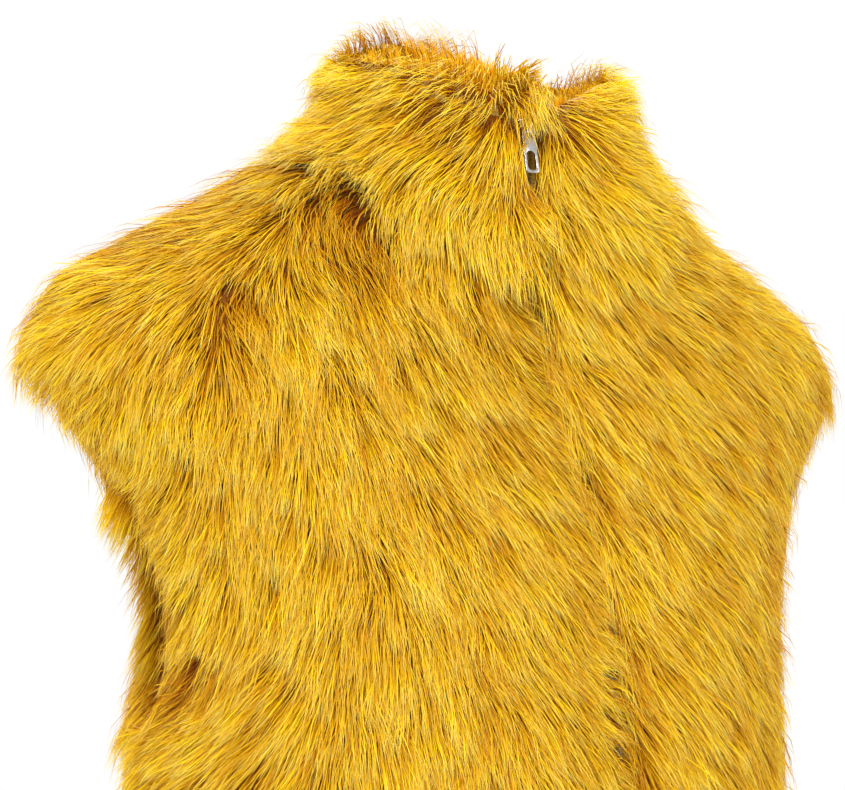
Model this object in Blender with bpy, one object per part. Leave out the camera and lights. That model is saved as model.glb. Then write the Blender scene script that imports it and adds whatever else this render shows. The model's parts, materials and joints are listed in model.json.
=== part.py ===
"""Faux fur vest: construction solids.

A zip-fronted vest of long-pile fur cloth, in the hollow shape it has on a wearer. Metres, +Z up. The front faces -Y and the
vest's own left side is at +X. The origin is between the two shoulder seams at the base of the neck, where a wearer holds it up.

Each cloth panel is a wall: its inner face is the knitted backing, and its outer face is the reach of the pile. Both come from
one table of rings that run from the hem up to the base of the neck, and a second one for the collar.
"""

import math

import bmesh
import bpy
from mathutils import Matrix, Vector

COLLECTION = "faux_fur_vest"

# Thickness of the fur cloth, from the inner face of its backing to the reach of its pile
PILE = 0.022
PILE_COLLAR = 0.019
PILE_INNER_COLLAR = 0.011
PILE_AT_ZIP = 0.0095
ZIP_VALLEY_WIDTH = 0.034

# Seams: clearance between pieces that touch
SEAM = 0.0003
NECK_REACH = 0.031
NECK_SEAM_T = 0.0007
COLLAR_SEAM_T = 0.0025
NECK_LEAN_FROM = 0.90

# Zip: half widths of the gap between the fronts, of the chain of teeth and of the tape behind them
ZIP_GAP_HALF = 0.0048
CHAIN_HALF = 0.0028
CHAIN_THICKNESS = 0.0034
TAPE_HALF = 0.016
TAPE_THICKNESS = 0.001
TAPE_BACK = 0.0006
TAPE_LOW_T = 0.002
TAPE_HIGH_T = 0.97
TAPE_CLEARANCE = 0.001
TAPE_STEP_WIDTH = 0.010
STRIP_TOP_GAP_T = 0.03

# Counts of steps round and up the panels
FRONT_STEPS = 15
BACK_STEPS = 28
COLLAR_STEPS = 52
COLLAR_ROWS = 7
RIM_STEPS = 4
SKIRT_STEPS = 9
ARMHOLE_STEPS = 12
YOKE_STEPS = 7

# Rows of a body panel at its hem and of the collar at its top edge, and steps used to measure slopes on a ring
HEM_ROWS = (0.0, 0.006, 0.013, 0.022)
COLLAR_PLAIN_T = 0.80
COLLAR_RIM_ROWS = (0.87, 0.94, 1.0)
COLLAR_RIM_TURN = 90.0
SLOPE_TURN = 0.8
SLOPE_T = 0.004
EDGE_SLOPE_T = 0.01

# Collar: where its pile stops hanging out over the neck seam, and where its wall stops leaning with the seam
COLLAR_HANG_T = 0.95
COLLAR_LEAN_T = 0.45

# Rings of the body's inner face, from the hem to the base of the neck. t is the ring's place from 0 to 1, side the half
# width, side_y and side_z where its side points lie, front and back how far it reaches along Y, zip_x the lean of the zip
# line, full how square its plan is (2 is an ellipse).
RING_COLUMNS = ("t", "side", "side_y", "side_z", "front", "front_z", "back", "back_z", "zip_x", "full")
RINGS = (
    (0.00, 0.178, 0.000, -0.585, -0.152, -0.588, 0.136, -0.588, 0.012, 2.15),
    (0.20, 0.172, 0.000, -0.480, -0.148, -0.480, 0.132, -0.480, 0.014, 2.15),
    (0.38, 0.168, 0.000, -0.375, -0.144, -0.375, 0.129, -0.375, 0.016, 2.15),
    (0.52, 0.166, 0.002, -0.285, -0.142, -0.288, 0.129, -0.283, 0.015, 2.20),
    (0.62, 0.168, 0.006, -0.222, -0.139, -0.230, 0.128, -0.215, 0.008, 2.20),
    (0.72, 0.186, 0.012, -0.150, -0.129, -0.178, 0.126, -0.155, 0.001, 2.10),
    (0.80, 0.234, 0.018, -0.070, -0.112, -0.128, 0.118, -0.098, -0.005, 1.66),
    (0.87, 0.192, 0.013, -0.034, -0.100, -0.094, 0.104, -0.046, -0.007, 1.75),
    (0.93, 0.140, 0.004, -0.008, -0.091, -0.066, 0.088, -0.008, -0.008, 1.85),
    (1.00, 0.087, -0.008, 0.014, -0.084, -0.038, 0.066, 0.028, -0.008, 2.00),
)
T_ARMPIT = 0.52
T_TIP = 0.80

# Rings of the collar's backing, from the neck seam to its top edge
COLLAR_RINGS = (
    (0.00, 0.087, -0.008, 0.014, -0.084, -0.038, 0.066, 0.028, -0.008, 2.00),
    (0.35, 0.082, -0.011, 0.032, -0.083, -0.012, 0.059, 0.052, -0.008, 2.00),
    (0.70, 0.076, -0.013, 0.052, -0.084, 0.018, 0.055, 0.076, -0.008, 2.00),
    (1.00, 0.074, -0.014, 0.070, -0.086, 0.046, 0.055, 0.098, -0.008, 2.00),
)

# Armhole: how far its edge stands off the side line, in degrees of turn round the ring, on the front and on the back
ARMHOLE_FRONT = 5.0
ARMHOLE_BACK = 38.0
ARMHOLE_OVERHANG = 0.7
ARMHOLE_ROLL_GAP = 0.024
RIM_SPACING = 0.004
RIM_TURN = 96.0

# Soft folds pressed into the outer face: where they run (turn from the zip in degrees and t at both ends), width and depth
FOLD_COLUMNS = ("turn_low", "t_low", "turn_high", "t_high", "width", "depth")
FOLDS = (
    (52.0, 0.40, 44.0, 0.78, 0.012, 0.0045),
    (-40.0, 0.97, -62.0, 0.76, 0.012, 0.0045),
    (-66.0, 0.30, -58.0, 0.60, 0.014, 0.0040),
    (66.0, 0.12, 60.0, 0.46, 0.014, 0.0035),
    (150.0, 0.20, 158.0, 0.66, 0.016, 0.0040),
    (-140.0, 0.28, -150.0, 0.74, 0.016, 0.0040),
)

# Zip slider and pull tab
SLIDER_PLACE = 0.955
SLIDER_WIDTH = 0.0084
SLIDER_LENGTH = 0.0100
SLIDER_HEIGHT = 0.0056
SLIDER_NOSE = 0.0062
SLIDER_BEVEL = 0.0011
ARCH_LENGTH = 0.0066
ARCH_HEIGHT = 0.0034
ARCH_WIDTH = 0.0024
ARCH_BAR = 0.0009
ARCH_FOOT = -0.0010
TAB_WIDTH = 0.0080
TAB_LENGTH = 0.0270
TAB_THICKNESS = 0.0013
TAB_BAR = 0.0015
TAB_NECK = 0.0048
TAB_CORNER = 0.42
TAB_EYE_SIDE = 0.0021
TAB_EYE_CORNER = 0.0005
TAB_LOOP_WIRE = 0.0014
TAB_LOOP_LENGTH = 0.0130
TAB_LOOP_CORNER = 0.0015
TAB_TILT = 20.0
BOX_LENGTH = 0.012
BOX_WIDTH = 0.0086
BOX_HEIGHT = 0.0050
BOX_BEVEL = 0.0008
ZIP_BOX_T = 0.018
WELD_DISTANCE = 0.00001
CHAIN_LOW_T = 0.0295
CHAIN_HIGH_T = 0.885

FUR = ("fur", (0.78, 0.50, 0.035), 0.75, 0.0)
INNER_FUR = ("inner_fur", (0.62, 0.36, 0.03), 0.8, 0.0)
TAPE = ("zip_tape", (0.70, 0.47, 0.06), 0.85, 0.0)
METAL = ("zip_metal", (0.72, 0.72, 0.74), 0.25, 1.0)


def clear_scene():
    for old in list(bpy.data.objects):
        bpy.data.objects.remove(old, do_unlink=True)


def make_material(spec):
    name, colour, roughness, metallic = spec
    material = bpy.data.materials.new(name)
    material.use_nodes = True
    shader = material.node_tree.nodes["Principled BSDF"]
    shader.inputs["Base Color"].default_value = (*colour, 1.0)
    shader.inputs["Roughness"].default_value = roughness
    shader.inputs["Metallic"].default_value = metallic
    material.diffuse_color = (*colour, 1.0)
    return material


def smooth_step(value):
    value = min(1.0, max(0.0, value))
    return value * value * (3.0 - 2.0 * value)


def read_ring(rings, t, column):
    """Value of one column at t, on a smooth curve through the table's rows."""
    at = RING_COLUMNS.index(column)
    last = len(rings) - 1
    row = 0
    while row < last - 1 and t > rings[row + 1][0]:
        row += 1
    t0, t1 = rings[row][0], rings[row + 1][0]
    y0, y1 = rings[row][at], rings[row + 1][at]
    before, after = rings[max(row - 1, 0)], rings[min(row + 2, last)]
    slope0 = (y1 - before[at]) / (t1 - before[0])
    slope1 = (after[at] - y0) / (after[0] - t0)
    span = t1 - t0
    s = (t - t0) / span
    rise = (y1 - y0) / span
    first = (slope0 if row else rise) * span
    second = (slope1 if row < last - 1 else rise) * span
    return (
        y0 * (2 * s**3 - 3 * s**2 + 1)
        + first * (s**3 - 2 * s**2 + s)
        + y1 * (3 * s**2 - 2 * s**3)
        + second * (s**3 - s**2)
    )


def ring_point(rings, turn, t):
    """Point of the backing at a turn in degrees from the middle of the front, positive towards the vest's left side."""
    angle = math.radians(turn)
    full = read_ring(rings, t, "full")
    sine, cosine = math.sin(angle), math.cos(angle)
    swing = math.copysign(abs(sine) ** (2.0 / full), sine)
    reach = abs(cosine) ** (2.0 / full)
    side_y, side_z = read_ring(rings, t, "side_y"), read_ring(rings, t, "side_z")
    end = "front" if cosine > 0.0 else "back"
    end_y, end_z = read_ring(rings, t, end), read_ring(rings, t, end + "_z")
    x = read_ring(rings, t, "side") * swing
    y = side_y + (end_y - side_y) * reach
    z = side_z + (end_z - side_z) * cosine * cosine
    return Vector((x, y, z))


def ring_normal(rings, turn, t):
    """Outward unit normal of the backing."""
    low_t, high_t = max(0.0, t - SLOPE_T), min(1.0, t + SLOPE_T)
    across = ring_point(rings, turn + SLOPE_TURN, t) - ring_point(rings, turn - SLOPE_TURN, t)
    up = ring_point(rings, turn, high_t) - ring_point(rings, turn, low_t)
    return across.cross(up).normalized()


def zip_turn(rings, t):
    """Turn at which the zip line crosses the ring."""
    lean = read_ring(rings, t, "zip_x")
    full = read_ring(rings, t, "full")
    share = abs(lean) / read_ring(rings, t, "side")
    return math.copysign(math.degrees(math.asin(share ** (full / 2.0))), lean)


def turn_per_metre(rings, turn, t):
    """Degrees of turn in a metre along the ring."""
    step = 0.5
    return 2 * step / (ring_point(rings, turn + step, t) - ring_point(rings, turn - step, t)).length


def zip_offset(rings, offset, t):
    """Turn of the line that runs at a distance in metres beside the zip line."""
    middle = zip_turn(rings, t)
    return middle + offset * turn_per_metre(rings, middle, t)


def neck_mitre(turn):
    """Direction of the wall that a panel and the collar share at the neck seam, half way between their normals."""
    return (ring_normal(RINGS, turn, 1.0) + ring_normal(COLLAR_RINGS, turn, 0.0)).normalized()


def armhole_bow(t):
    """0 at the armpit and at the shoulder's tip, 1 half way round the armhole."""
    if not T_ARMPIT < t < T_TIP:
        return 0.0
    middle, half = (T_ARMPIT + T_TIP) / 2, (T_TIP - T_ARMPIT) / 2
    return math.sqrt(max(0.0, 1.0 - ((t - middle) / half) ** 2))


def fold_depth(turn, t):
    """Depth of the soft folds at a place on the outer face."""
    depth = 0.0
    for row in FOLDS:
        fold = dict(zip(FOLD_COLUMNS, row))
        along = (t - fold["t_low"]) / (fold["t_high"] - fold["t_low"])
        if not 0.0 < along < 1.0:
            continue
        middle = fold["turn_low"] + (fold["turn_high"] - fold["turn_low"]) * along
        away = (turn - middle + 180.0) % 360.0 - 180.0
        off = away / turn_per_metre(RINGS, middle, t)
        depth += fold["depth"] * math.exp(-((off / fold["width"]) ** 2)) * math.sin(math.pi * along) ** 0.7
    return depth


def pile_height(turn, t):
    """Reach of the body's pile: less in the valley over the zip, and more where it banks up against the collar."""
    middle = zip_turn(RINGS, t)
    off = abs(turn - middle) / turn_per_metre(RINGS, middle, t)
    valley = smooth_step(off / ZIP_VALLEY_WIDTH)
    reach = PILE_AT_ZIP + (PILE - PILE_AT_ZIP) * valley
    swell = smooth_step((t - NECK_LEAN_FROM) / (1.0 - NECK_LEAN_FROM)) * (NECK_REACH - PILE) * valley
    return reach + swell - fold_depth(turn, t) * valley


def collar_pile(turn, t):
    """Reach of the collar's pile: it hangs out over the neck seam, and is thin over the zip."""
    middle = zip_turn(COLLAR_RINGS, t)
    off = abs(turn - middle) / turn_per_metre(COLLAR_RINGS, middle, t)
    full = PILE_COLLAR + (NECK_REACH - PILE_COLLAR) * (1.0 - smooth_step(t / COLLAR_HANG_T))
    return PILE_AT_ZIP + (full - PILE_AT_ZIP) * smooth_step(off / ZIP_VALLEY_WIDTH)


def panel_rows():
    """Places t of a body panel's rows: close together at the hem and at both ends of the armhole."""
    start = HEM_ROWS[-1]
    skirt = [start + (T_ARMPIT - start) * step / SKIRT_STEPS for step in range(1, SKIRT_STEPS + 1)]
    middle, half = (T_ARMPIT + T_TIP) / 2, (T_TIP - T_ARMPIT) / 2
    armhole = [middle - half * math.cos(math.pi * step / ARMHOLE_STEPS) for step in range(1, ARMHOLE_STEPS + 1)]
    yoke = [T_TIP + (1.0 - T_TIP - NECK_SEAM_T) * step / YOKE_STEPS for step in range(1, YOKE_STEPS + 1)]
    return [*HEM_ROWS, *skirt, *armhole, *yoke]


def close_wall(name, columns, rows, inner_point, outer_point, material):
    """Object of one closed wall: a grid extruded once, its two faces placed by two functions of column and row."""
    mesh_data = bmesh.new()
    bmesh.ops.create_grid(mesh_data, x_segments=columns, y_segments=rows, size=0.5)
    column_of = mesh_data.verts.layers.int.new("column")
    row_of = mesh_data.verts.layers.int.new("row")
    for vert in mesh_data.verts:
        vert[column_of] = round((vert.co.x + 0.5) * columns)
        vert[row_of] = round((vert.co.y + 0.5) * rows)
    moved = bmesh.ops.extrude_face_region(mesh_data, geom=mesh_data.faces[:])
    outer = {item for item in moved["geom"] if isinstance(item, bmesh.types.BMVert)}
    for vert in mesh_data.verts:
        place = outer_point if vert in outer else inner_point
        vert.co = place(vert[column_of], vert[row_of])
    bmesh.ops.triangulate(mesh_data, faces=mesh_data.faces[:])
    bmesh.ops.recalc_face_normals(mesh_data, faces=mesh_data.faces[:])
    if mesh_data.calc_volume(signed=True) < 0.0:
        bmesh.ops.reverse_faces(mesh_data, faces=mesh_data.faces[:])
    mesh = bpy.data.meshes.new(name)
    mesh_data.to_mesh(mesh)
    mesh_data.free()
    return link_mesh(name, mesh, material)


def link_mesh(name, mesh, material):
    mesh.materials.clear()
    mesh.materials.append(material)
    mesh.shade_smooth()
    mesh.set_sharp_from_angle(angle=math.radians(50.0))
    made = bpy.data.objects.new(name, mesh)
    bpy.data.collections[COLLECTION].objects.link(made)
    return made


def rolled(point, normal, outward, reach, turn):
    """Point of the pile that stands at turn degrees from the normal, towards the free edge's outward direction."""
    angle = math.radians(turn)
    return point + (normal * math.cos(angle) + outward * math.sin(angle)) * reach


def hem_turn(row):
    return RIM_TURN * max(0, RIM_STEPS - 1 - row) / (RIM_STEPS - 1)


def up_direction(rings, turn, t):
    low_t, high_t = max(0.0, t - SLOPE_T), min(1.0, t + SLOPE_T)
    return (ring_point(rings, turn, high_t) - ring_point(rings, turn, low_t)).normalized()


def edge_turn(side, t, stand_off, seam_turn):
    """Turn of a panel's outer edge: the side line, or the armhole's edge that stands off it."""
    bow = armhole_bow(t)
    seam = (SEAM / 2) * turn_per_metre(RINGS, 90.0 * side, t)
    return seam_turn - side * (stand_off * bow + seam)


def body_outer(turn, t, row, edge, roll, inward_side):
    """Point of the outer face, rolled over the hem or over the armhole's edge."""
    point, normal = ring_point(RINGS, turn, t), ring_normal(RINGS, turn, t)
    reach = pile_height(turn, t)
    lean = smooth_step((t - NECK_LEAN_FROM) / (1.0 - NECK_LEAN_FROM))
    normal = normal.lerp(neck_mitre(turn), lean).normalized() if lean > 0.0 else normal
    if roll > 0.0:
        low, high = edge(t - EDGE_SLOPE_T), edge(t + EDGE_SLOPE_T)
        along = ring_point(RINGS, high, t + EDGE_SLOPE_T) - ring_point(RINGS, low, t - EDGE_SLOPE_T)
        outward = along.cross(normal).normalized() * inward_side
        return rolled(point, normal, outward * ARMHOLE_OVERHANG, reach, roll)
    if hem_turn(row) > 0.0:
        return rolled(point, normal, -up_direction(RINGS, turn, t), reach, hem_turn(row))
    return point + normal * reach


def armhole_roll(t, stand_off, side):
    """How far the pile rolls over the armhole's edge, in degrees: nothing where the two panels still meet."""
    gap = stand_off * armhole_bow(t) / turn_per_metre(RINGS, 90.0 * side, t)
    return RIM_TURN * smooth_step(gap / ARMHOLE_ROLL_GAP)


def make_front(name, side, material):
    """One front, from the zip to the side seam and from the hem to the neck. side is -1 for the vest's own right."""
    rows = panel_rows()

    def edge(t):
        return edge_turn(side, t, ARMHOLE_FRONT, 90.0 * side)

    def turn_at(column, t):
        end = edge(t)
        rim = side * RIM_SPACING * turn_per_metre(RINGS, end, t)
        plain = FRONT_STEPS - RIM_STEPS
        if column == 0:
            return zip_offset(RINGS, side * ZIP_GAP_HALF, t)
        if column > plain:
            return end - rim * (FRONT_STEPS - column)
        first = zip_offset(RINGS, side * TAPE_HALF, t)
        last = end - rim * RIM_STEPS
        return first + (last - first) * (column - 1) / (plain - 1)

    def inner(column, row):
        return ring_point(RINGS, turn_at(column, rows[row]), rows[row])

    def outer(column, row):
        t = rows[row]
        roll = armhole_roll(t, ARMHOLE_FRONT, side) * max(0, column - FRONT_STEPS + RIM_STEPS) / RIM_STEPS
        return body_outer(turn_at(column, t), t, row, edge, roll, side)

    return close_wall(name, FRONT_STEPS, len(rows) - 1, inner, outer, material)


def make_back(name, material):
    """The back, from side seam to side seam."""
    rows = panel_rows()

    def left_edge(t):
        return edge_turn(1, t, -ARMHOLE_BACK, 90.0) + SEAM * turn_per_metre(RINGS, 90.0, t)

    def right_edge(t):
        return 360.0 + edge_turn(-1, t, -ARMHOLE_BACK, -90.0) - SEAM * turn_per_metre(RINGS, -90.0, t)

    def turn_at(column, t):
        low, high = left_edge(t), right_edge(t)
        low_rim = RIM_SPACING * turn_per_metre(RINGS, low, t)
        high_rim = RIM_SPACING * turn_per_metre(RINGS, high, t)
        if column < RIM_STEPS:
            return low + low_rim * column
        if column > BACK_STEPS - RIM_STEPS:
            return high - high_rim * (BACK_STEPS - column)
        first, last = low + low_rim * RIM_STEPS, high - high_rim * RIM_STEPS
        return first + (last - first) * (column - RIM_STEPS) / (BACK_STEPS - 2 * RIM_STEPS)

    def inner(column, row):
        return ring_point(RINGS, turn_at(column, rows[row]), rows[row])

    def outer(column, row):
        t = rows[row]
        low_side = column < BACK_STEPS / 2
        from_edge = column if low_side else BACK_STEPS - column
        side = 1 if low_side else -1
        roll = armhole_roll(t, ARMHOLE_BACK, side) * max(0, RIM_STEPS - from_edge) / RIM_STEPS
        edge = left_edge if low_side else right_edge
        return body_outer(turn_at(column, t), t, row, edge, roll, -side)

    return close_wall(name, BACK_STEPS, len(rows) - 1, inner, outer, material)


def collar_turn(column, t):
    """Turn of a collar column: it starts beside the zip on the vest's left, goes round the back and ends on the right."""
    low = [zip_offset(COLLAR_RINGS, offset, t) for offset in (ZIP_GAP_HALF, TAPE_HALF)]
    high = [360.0 + zip_offset(COLLAR_RINGS, -offset, t) for offset in (ZIP_GAP_HALF, TAPE_HALF)]
    if column == 0:
        return low[0]
    if column == COLLAR_STEPS:
        return high[0]
    return low[1] + (high[1] - low[1]) * (column - 1) / (COLLAR_STEPS - 2)


def collar_places():
    """Places t of the collar's rows, close together under its top edge."""
    rise = COLLAR_PLAIN_T - COLLAR_SEAM_T
    return [*(COLLAR_SEAM_T + rise * step / COLLAR_ROWS for step in range(COLLAR_ROWS + 1)), *COLLAR_RIM_ROWS]


def collar_roll(row, rows):
    """How far the pile rolls over the collar's top edge, in degrees."""
    from_top = len(rows) - 1 - row
    count = len(COLLAR_RIM_ROWS)
    return COLLAR_RIM_TURN * max(0, count - from_top) / count


def make_collar_outer(name, material):
    rows = collar_places()

    def inner(column, row):
        return ring_point(COLLAR_RINGS, collar_turn(column, rows[row]), rows[row])

    def outer(column, row):
        t = rows[row]
        turn = collar_turn(column, t)
        point, normal = ring_point(COLLAR_RINGS, turn, t), ring_normal(COLLAR_RINGS, turn, t)
        lean = 1.0 - smooth_step(t / COLLAR_LEAN_T)
        normal = normal.lerp(neck_mitre(turn), lean).normalized() if lean > 0.0 else normal
        return rolled(point, normal, up_direction(COLLAR_RINGS, turn, t), collar_pile(turn, t), collar_roll(row, rows))

    return close_wall(name, COLLAR_STEPS, len(rows) - 1, inner, outer, material)


def make_collar_inner(name, material):
    """Facing of the collar. It stands off the outer collar by the tapes' thickness at both its ends."""
    rows = collar_places()

    def backing(column, row):
        t = rows[row]
        turn = collar_turn(column, t)
        middle = zip_turn(COLLAR_RINGS, t)
        away = abs((turn - middle + 180.0) % 360.0 - 180.0) / turn_per_metre(COLLAR_RINGS, middle, t)
        over_tape = 1.0 - smooth_step((away - TAPE_HALF - TAPE_CLEARANCE) / TAPE_STEP_WIDTH)
        stand_off = SEAM + (TAPE_BACK + TAPE_THICKNESS) * over_tape
        return ring_point(COLLAR_RINGS, turn, t) - ring_normal(COLLAR_RINGS, turn, t) * stand_off, turn, t

    def inner(column, row):
        return backing(column, row)[0]

    def outer(column, row):
        point, turn, t = backing(column, row)
        normal, up = -ring_normal(COLLAR_RINGS, turn, t), up_direction(COLLAR_RINGS, turn, t)
        return rolled(point, normal, up, PILE_INNER_COLLAR, collar_roll(row, rows))

    return close_wall(name, COLLAR_STEPS, len(rows) - 1, inner, outer, material)


def zip_places(low_t, high_t):
    """Rows of a strip along the zip, as (rings, t, normal): up the body's rows, over the neck seam and up the collar's."""
    places = []
    for t in panel_rows()[:-1]:
        if t > low_t:
            turn = zip_turn(RINGS, t)
            places.append((RINGS, t, ring_normal(RINGS, turn, t)))
    start_turn = zip_turn(RINGS, low_t)
    places.insert(0, (RINGS, low_t, ring_normal(RINGS, start_turn, low_t)))
    places.append((RINGS, 1.0, neck_mitre(zip_turn(RINGS, 1.0))))
    for t in [*[place for place in collar_places()[1:] if place < high_t - STRIP_TOP_GAP_T], high_t]:
        turn = zip_turn(COLLAR_RINGS, t)
        places.append((COLLAR_RINGS, t, ring_normal(COLLAR_RINGS, turn, t)))
    return places


def make_zip_strip(name, offsets, heights, low_t, high_t, material):
    """Strip of constant thickness that follows the zip line, made from the panels' own points moved along the normal."""
    places = zip_places(low_t, high_t)

    def point(column, row, height):
        rings, t, normal = places[row]
        return ring_point(rings, zip_offset(rings, offsets[column], t), t) + normal * height

    return close_wall(
        name,
        len(offsets) - 1,
        len(places) - 1,
        lambda column, row: point(column, row, heights[0]),
        lambda column, row: point(column, row, heights[1]),
        material,
    )


def zip_frame(rings, t, height):
    """Frame on the zip line: X across the zip to the vest's right, Y out of the cloth, Z up the zip."""
    turn = zip_turn(rings, t)
    out = ring_normal(rings, turn, t)
    across = out.cross(up_direction(rings, turn, t)).normalized()
    up = across.cross(out).normalized()
    frame = Matrix((across, out, up)).transposed().to_4x4()
    frame.translation = ring_point(rings, turn, t) + out * height
    return frame


def cube_mesh(name, size, centre, bevel):
    """Bevelled block of a size, with its centre moved."""
    block = bmesh.new()
    bmesh.ops.create_cube(block, size=1.0)
    bmesh.ops.scale(block, vec=size, verts=block.verts[:])
    bmesh.ops.bevel(
        block, geom=block.edges[:], offset=bevel, segments=2, profile=0.5, affect="EDGES", material=-1
    )
    bmesh.ops.translate(block, vec=centre, verts=block.verts[:])
    mesh = bpy.data.meshes.new(name)
    block.to_mesh(mesh)
    block.free()
    return mesh


def make_slider(material):
    """Slider's body with the arch on its face that carries the pull tab, joined by a union."""
    frame = zip_frame(COLLAR_RINGS, SLIDER_PLACE, 0.0)
    body_mesh = cube_mesh(
        "zip_slider", (SLIDER_WIDTH, SLIDER_HEIGHT, SLIDER_LENGTH), (0.0, SLIDER_HEIGHT / 2 + SEAM, 0.0), SLIDER_BEVEL
    )
    for vert in body_mesh.vertices:
        if vert.co.z < 0.0:
            vert.co.x *= SLIDER_NOSE / SLIDER_WIDTH
    slider = link_mesh("zip_slider", body_mesh, material)
    slider.matrix_world = frame
    arch = bmesh.new()
    top = SLIDER_HEIGHT + SEAM
    half, rise = ARCH_LENGTH / 2, ARCH_HEIGHT
    outline = [
        (-half, ARCH_FOOT),
        (-half, rise * 0.62),
        (-half * 0.62, rise),
        (half * 0.62, rise),
        (half, rise * 0.62),
        (half, ARCH_FOOT),
        (half - ARCH_BAR, ARCH_FOOT),
        (half - ARCH_BAR, rise * 0.55),
        (half * 0.48, rise - ARCH_BAR),
        (-half * 0.48, rise - ARCH_BAR),
        (-half + ARCH_BAR, rise * 0.55),
        (-half + ARCH_BAR, ARCH_FOOT),
    ]
    corners = [arch.verts.new((-ARCH_WIDTH / 2, top + out, up)) for up, out in outline]
    arch.faces.new(corners)
    arch.normal_update()
    grown = bmesh.ops.extrude_face_region(arch, geom=arch.faces[:])
    bmesh.ops.translate(
        arch, vec=(ARCH_WIDTH, 0.0, 0.0), verts=[item for item in grown["geom"] if isinstance(item, bmesh.types.BMVert)]
    )
    bmesh.ops.recalc_face_normals(arch, faces=arch.faces[:])
    arch_mesh = bpy.data.meshes.new("slider_arch")
    arch.to_mesh(arch_mesh)
    arch.free()
    arch_object = bpy.data.objects.new("slider_arch", arch_mesh)
    bpy.data.collections["cutters"].objects.link(arch_object)
    arch_object.matrix_world = frame
    arch_object.hide_render = True
    arch_object.display_type = "WIRE"
    union = slider.modifiers.new("arch", "BOOLEAN")
    union.operation = "UNION"
    union.object = arch_object
    weld = slider.modifiers.new("weld", "WELD")
    weld.merge_threshold = WELD_DISTANCE
    return slider


def rounded_window(curve, half_width, low, high, radius, steps=5):
    """Closed spline of a rectangle with round corners, from low to high."""
    corners = (
        (half_width - radius, high - radius, 0.0),
        (-half_width + radius, high - radius, 90.0),
        (-half_width + radius, low + radius, 180.0),
        (half_width - radius, low + radius, 270.0),
    )
    points = []
    for centre_x, centre_y, start in corners:
        for step in range(steps + 1):
            angle = math.radians(start + 90.0 * step / steps)
            points.append((centre_x + radius * math.cos(angle), centre_y + radius * math.sin(angle), 0.0, 1.0))
    spline = curve.splines.new("POLY")
    spline.points.add(len(points) - 1)
    for point, place in zip(spline.points, points):
        point.co = place
    spline.use_cyclic_u = True


def make_pull_tab(material):
    """Flat tab with a window round the arch and a rounded loop at its free end. Its origin is on the hinge's axis."""
    pivot = SLIDER_HEIGHT + SEAM + (ARCH_HEIGHT - ARCH_BAR) / 2
    curve = bpy.data.curves.new("zip_pull", "CURVE")
    curve.dimensions = "2D"
    curve.fill_mode = "BOTH"
    curve.extrude = TAB_THICKNESS / 2
    top = TAB_BAR / 2
    half = TAB_WIDTH / 2
    low = top - TAB_LENGTH
    rounded_window(curve, half, low, top, half * TAB_CORNER)
    rounded_window(curve, half - TAB_EYE_SIDE, top - TAB_BAR - TAB_NECK, top - TAB_BAR, TAB_EYE_CORNER, 2)
    rounded_window(curve, half - TAB_LOOP_WIRE, low + TAB_LOOP_WIRE, low + TAB_LOOP_LENGTH, half - TAB_LOOP_CORNER)
    source = bpy.data.objects.new("zip_pull_outline", curve)
    bpy.data.collections[COLLECTION].objects.link(source)
    graph = bpy.context.evaluated_depsgraph_get()
    mesh = bpy.data.meshes.new_from_object(source.evaluated_get(graph))
    mesh.name = "zip_pull"
    welded = bmesh.new()
    welded.from_mesh(mesh)
    bmesh.ops.remove_doubles(welded, verts=welded.verts[:], dist=WELD_DISTANCE)
    bmesh.ops.recalc_face_normals(welded, faces=welded.faces[:])
    welded.to_mesh(mesh)
    welded.free()
    bpy.data.objects.remove(source, do_unlink=True)
    tab = link_mesh("zip_pull", mesh, material)
    frame = zip_frame(COLLAR_RINGS, SLIDER_PLACE, pivot)
    hang = Matrix.Rotation(math.radians(TAB_TILT), 4, "X")
    lay_flat = Matrix.Rotation(math.radians(90.0), 4, "X")
    tab.matrix_world = frame @ hang @ lay_flat
    return tab


def make_zip_box(material):
    """Box at the foot of the open-ended zip."""
    mesh = cube_mesh("zip_box", (BOX_WIDTH, BOX_HEIGHT, BOX_LENGTH), (0.0, BOX_HEIGHT / 2 + SEAM, 0.0), BOX_BEVEL)
    box = link_mesh("zip_box", mesh, material)
    box.matrix_world = zip_frame(RINGS, ZIP_BOX_T, 0.0)
    return box


def main():
    clear_scene()
    for name in (COLLECTION, "cutters"):
        made = bpy.data.collections.new(name)
        bpy.context.scene.collection.children.link(made)
    fur, inner_fur, tape, metal = (make_material(spec) for spec in (FUR, INNER_FUR, TAPE, METAL))
    make_front("front_right", -1, fur)
    make_front("front_left", 1, fur)
    make_back("back", fur)
    make_collar_outer("collar_outer", fur)
    make_collar_inner("collar_inner", inner_fur)
    back_heights = (-TAPE_BACK - TAPE_THICKNESS, -TAPE_BACK)
    for name, side in (("zip_tape_right", -1), ("zip_tape_left", 1)):
        offsets = [side * offset for offset in (SEAM, ZIP_GAP_HALF, TAPE_HALF)]
        make_zip_strip(name, offsets, back_heights, TAPE_LOW_T, TAPE_HIGH_T, tape)
    chain_heights = (SEAM, SEAM + CHAIN_THICKNESS)
    make_zip_strip("zip_chain", (-CHAIN_HALF, CHAIN_HALF), chain_heights, CHAIN_LOW_T, CHAIN_HIGH_T, metal)
    make_zip_box(metal)
    make_slider(metal)
    make_pull_tab(metal)


main()
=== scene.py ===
"""Faux fur vest: the finish of every surface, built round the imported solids.

Each fur panel becomes a thin cloth shell on its solid's form and a coat of modelled strands. The strands are
laid by a comb: marks read from the photograph give the lie of the pile on the side that it shows, and a plain
rule gives it on the hidden sides.
"""

from __future__ import annotations

import json
import logging
import math
from dataclasses import dataclass, field
from enum import Enum

import bmesh
import bpy
import numpy as np
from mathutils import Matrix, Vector, kdtree
from mathutils.bvhtree import BVHTree

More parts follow.
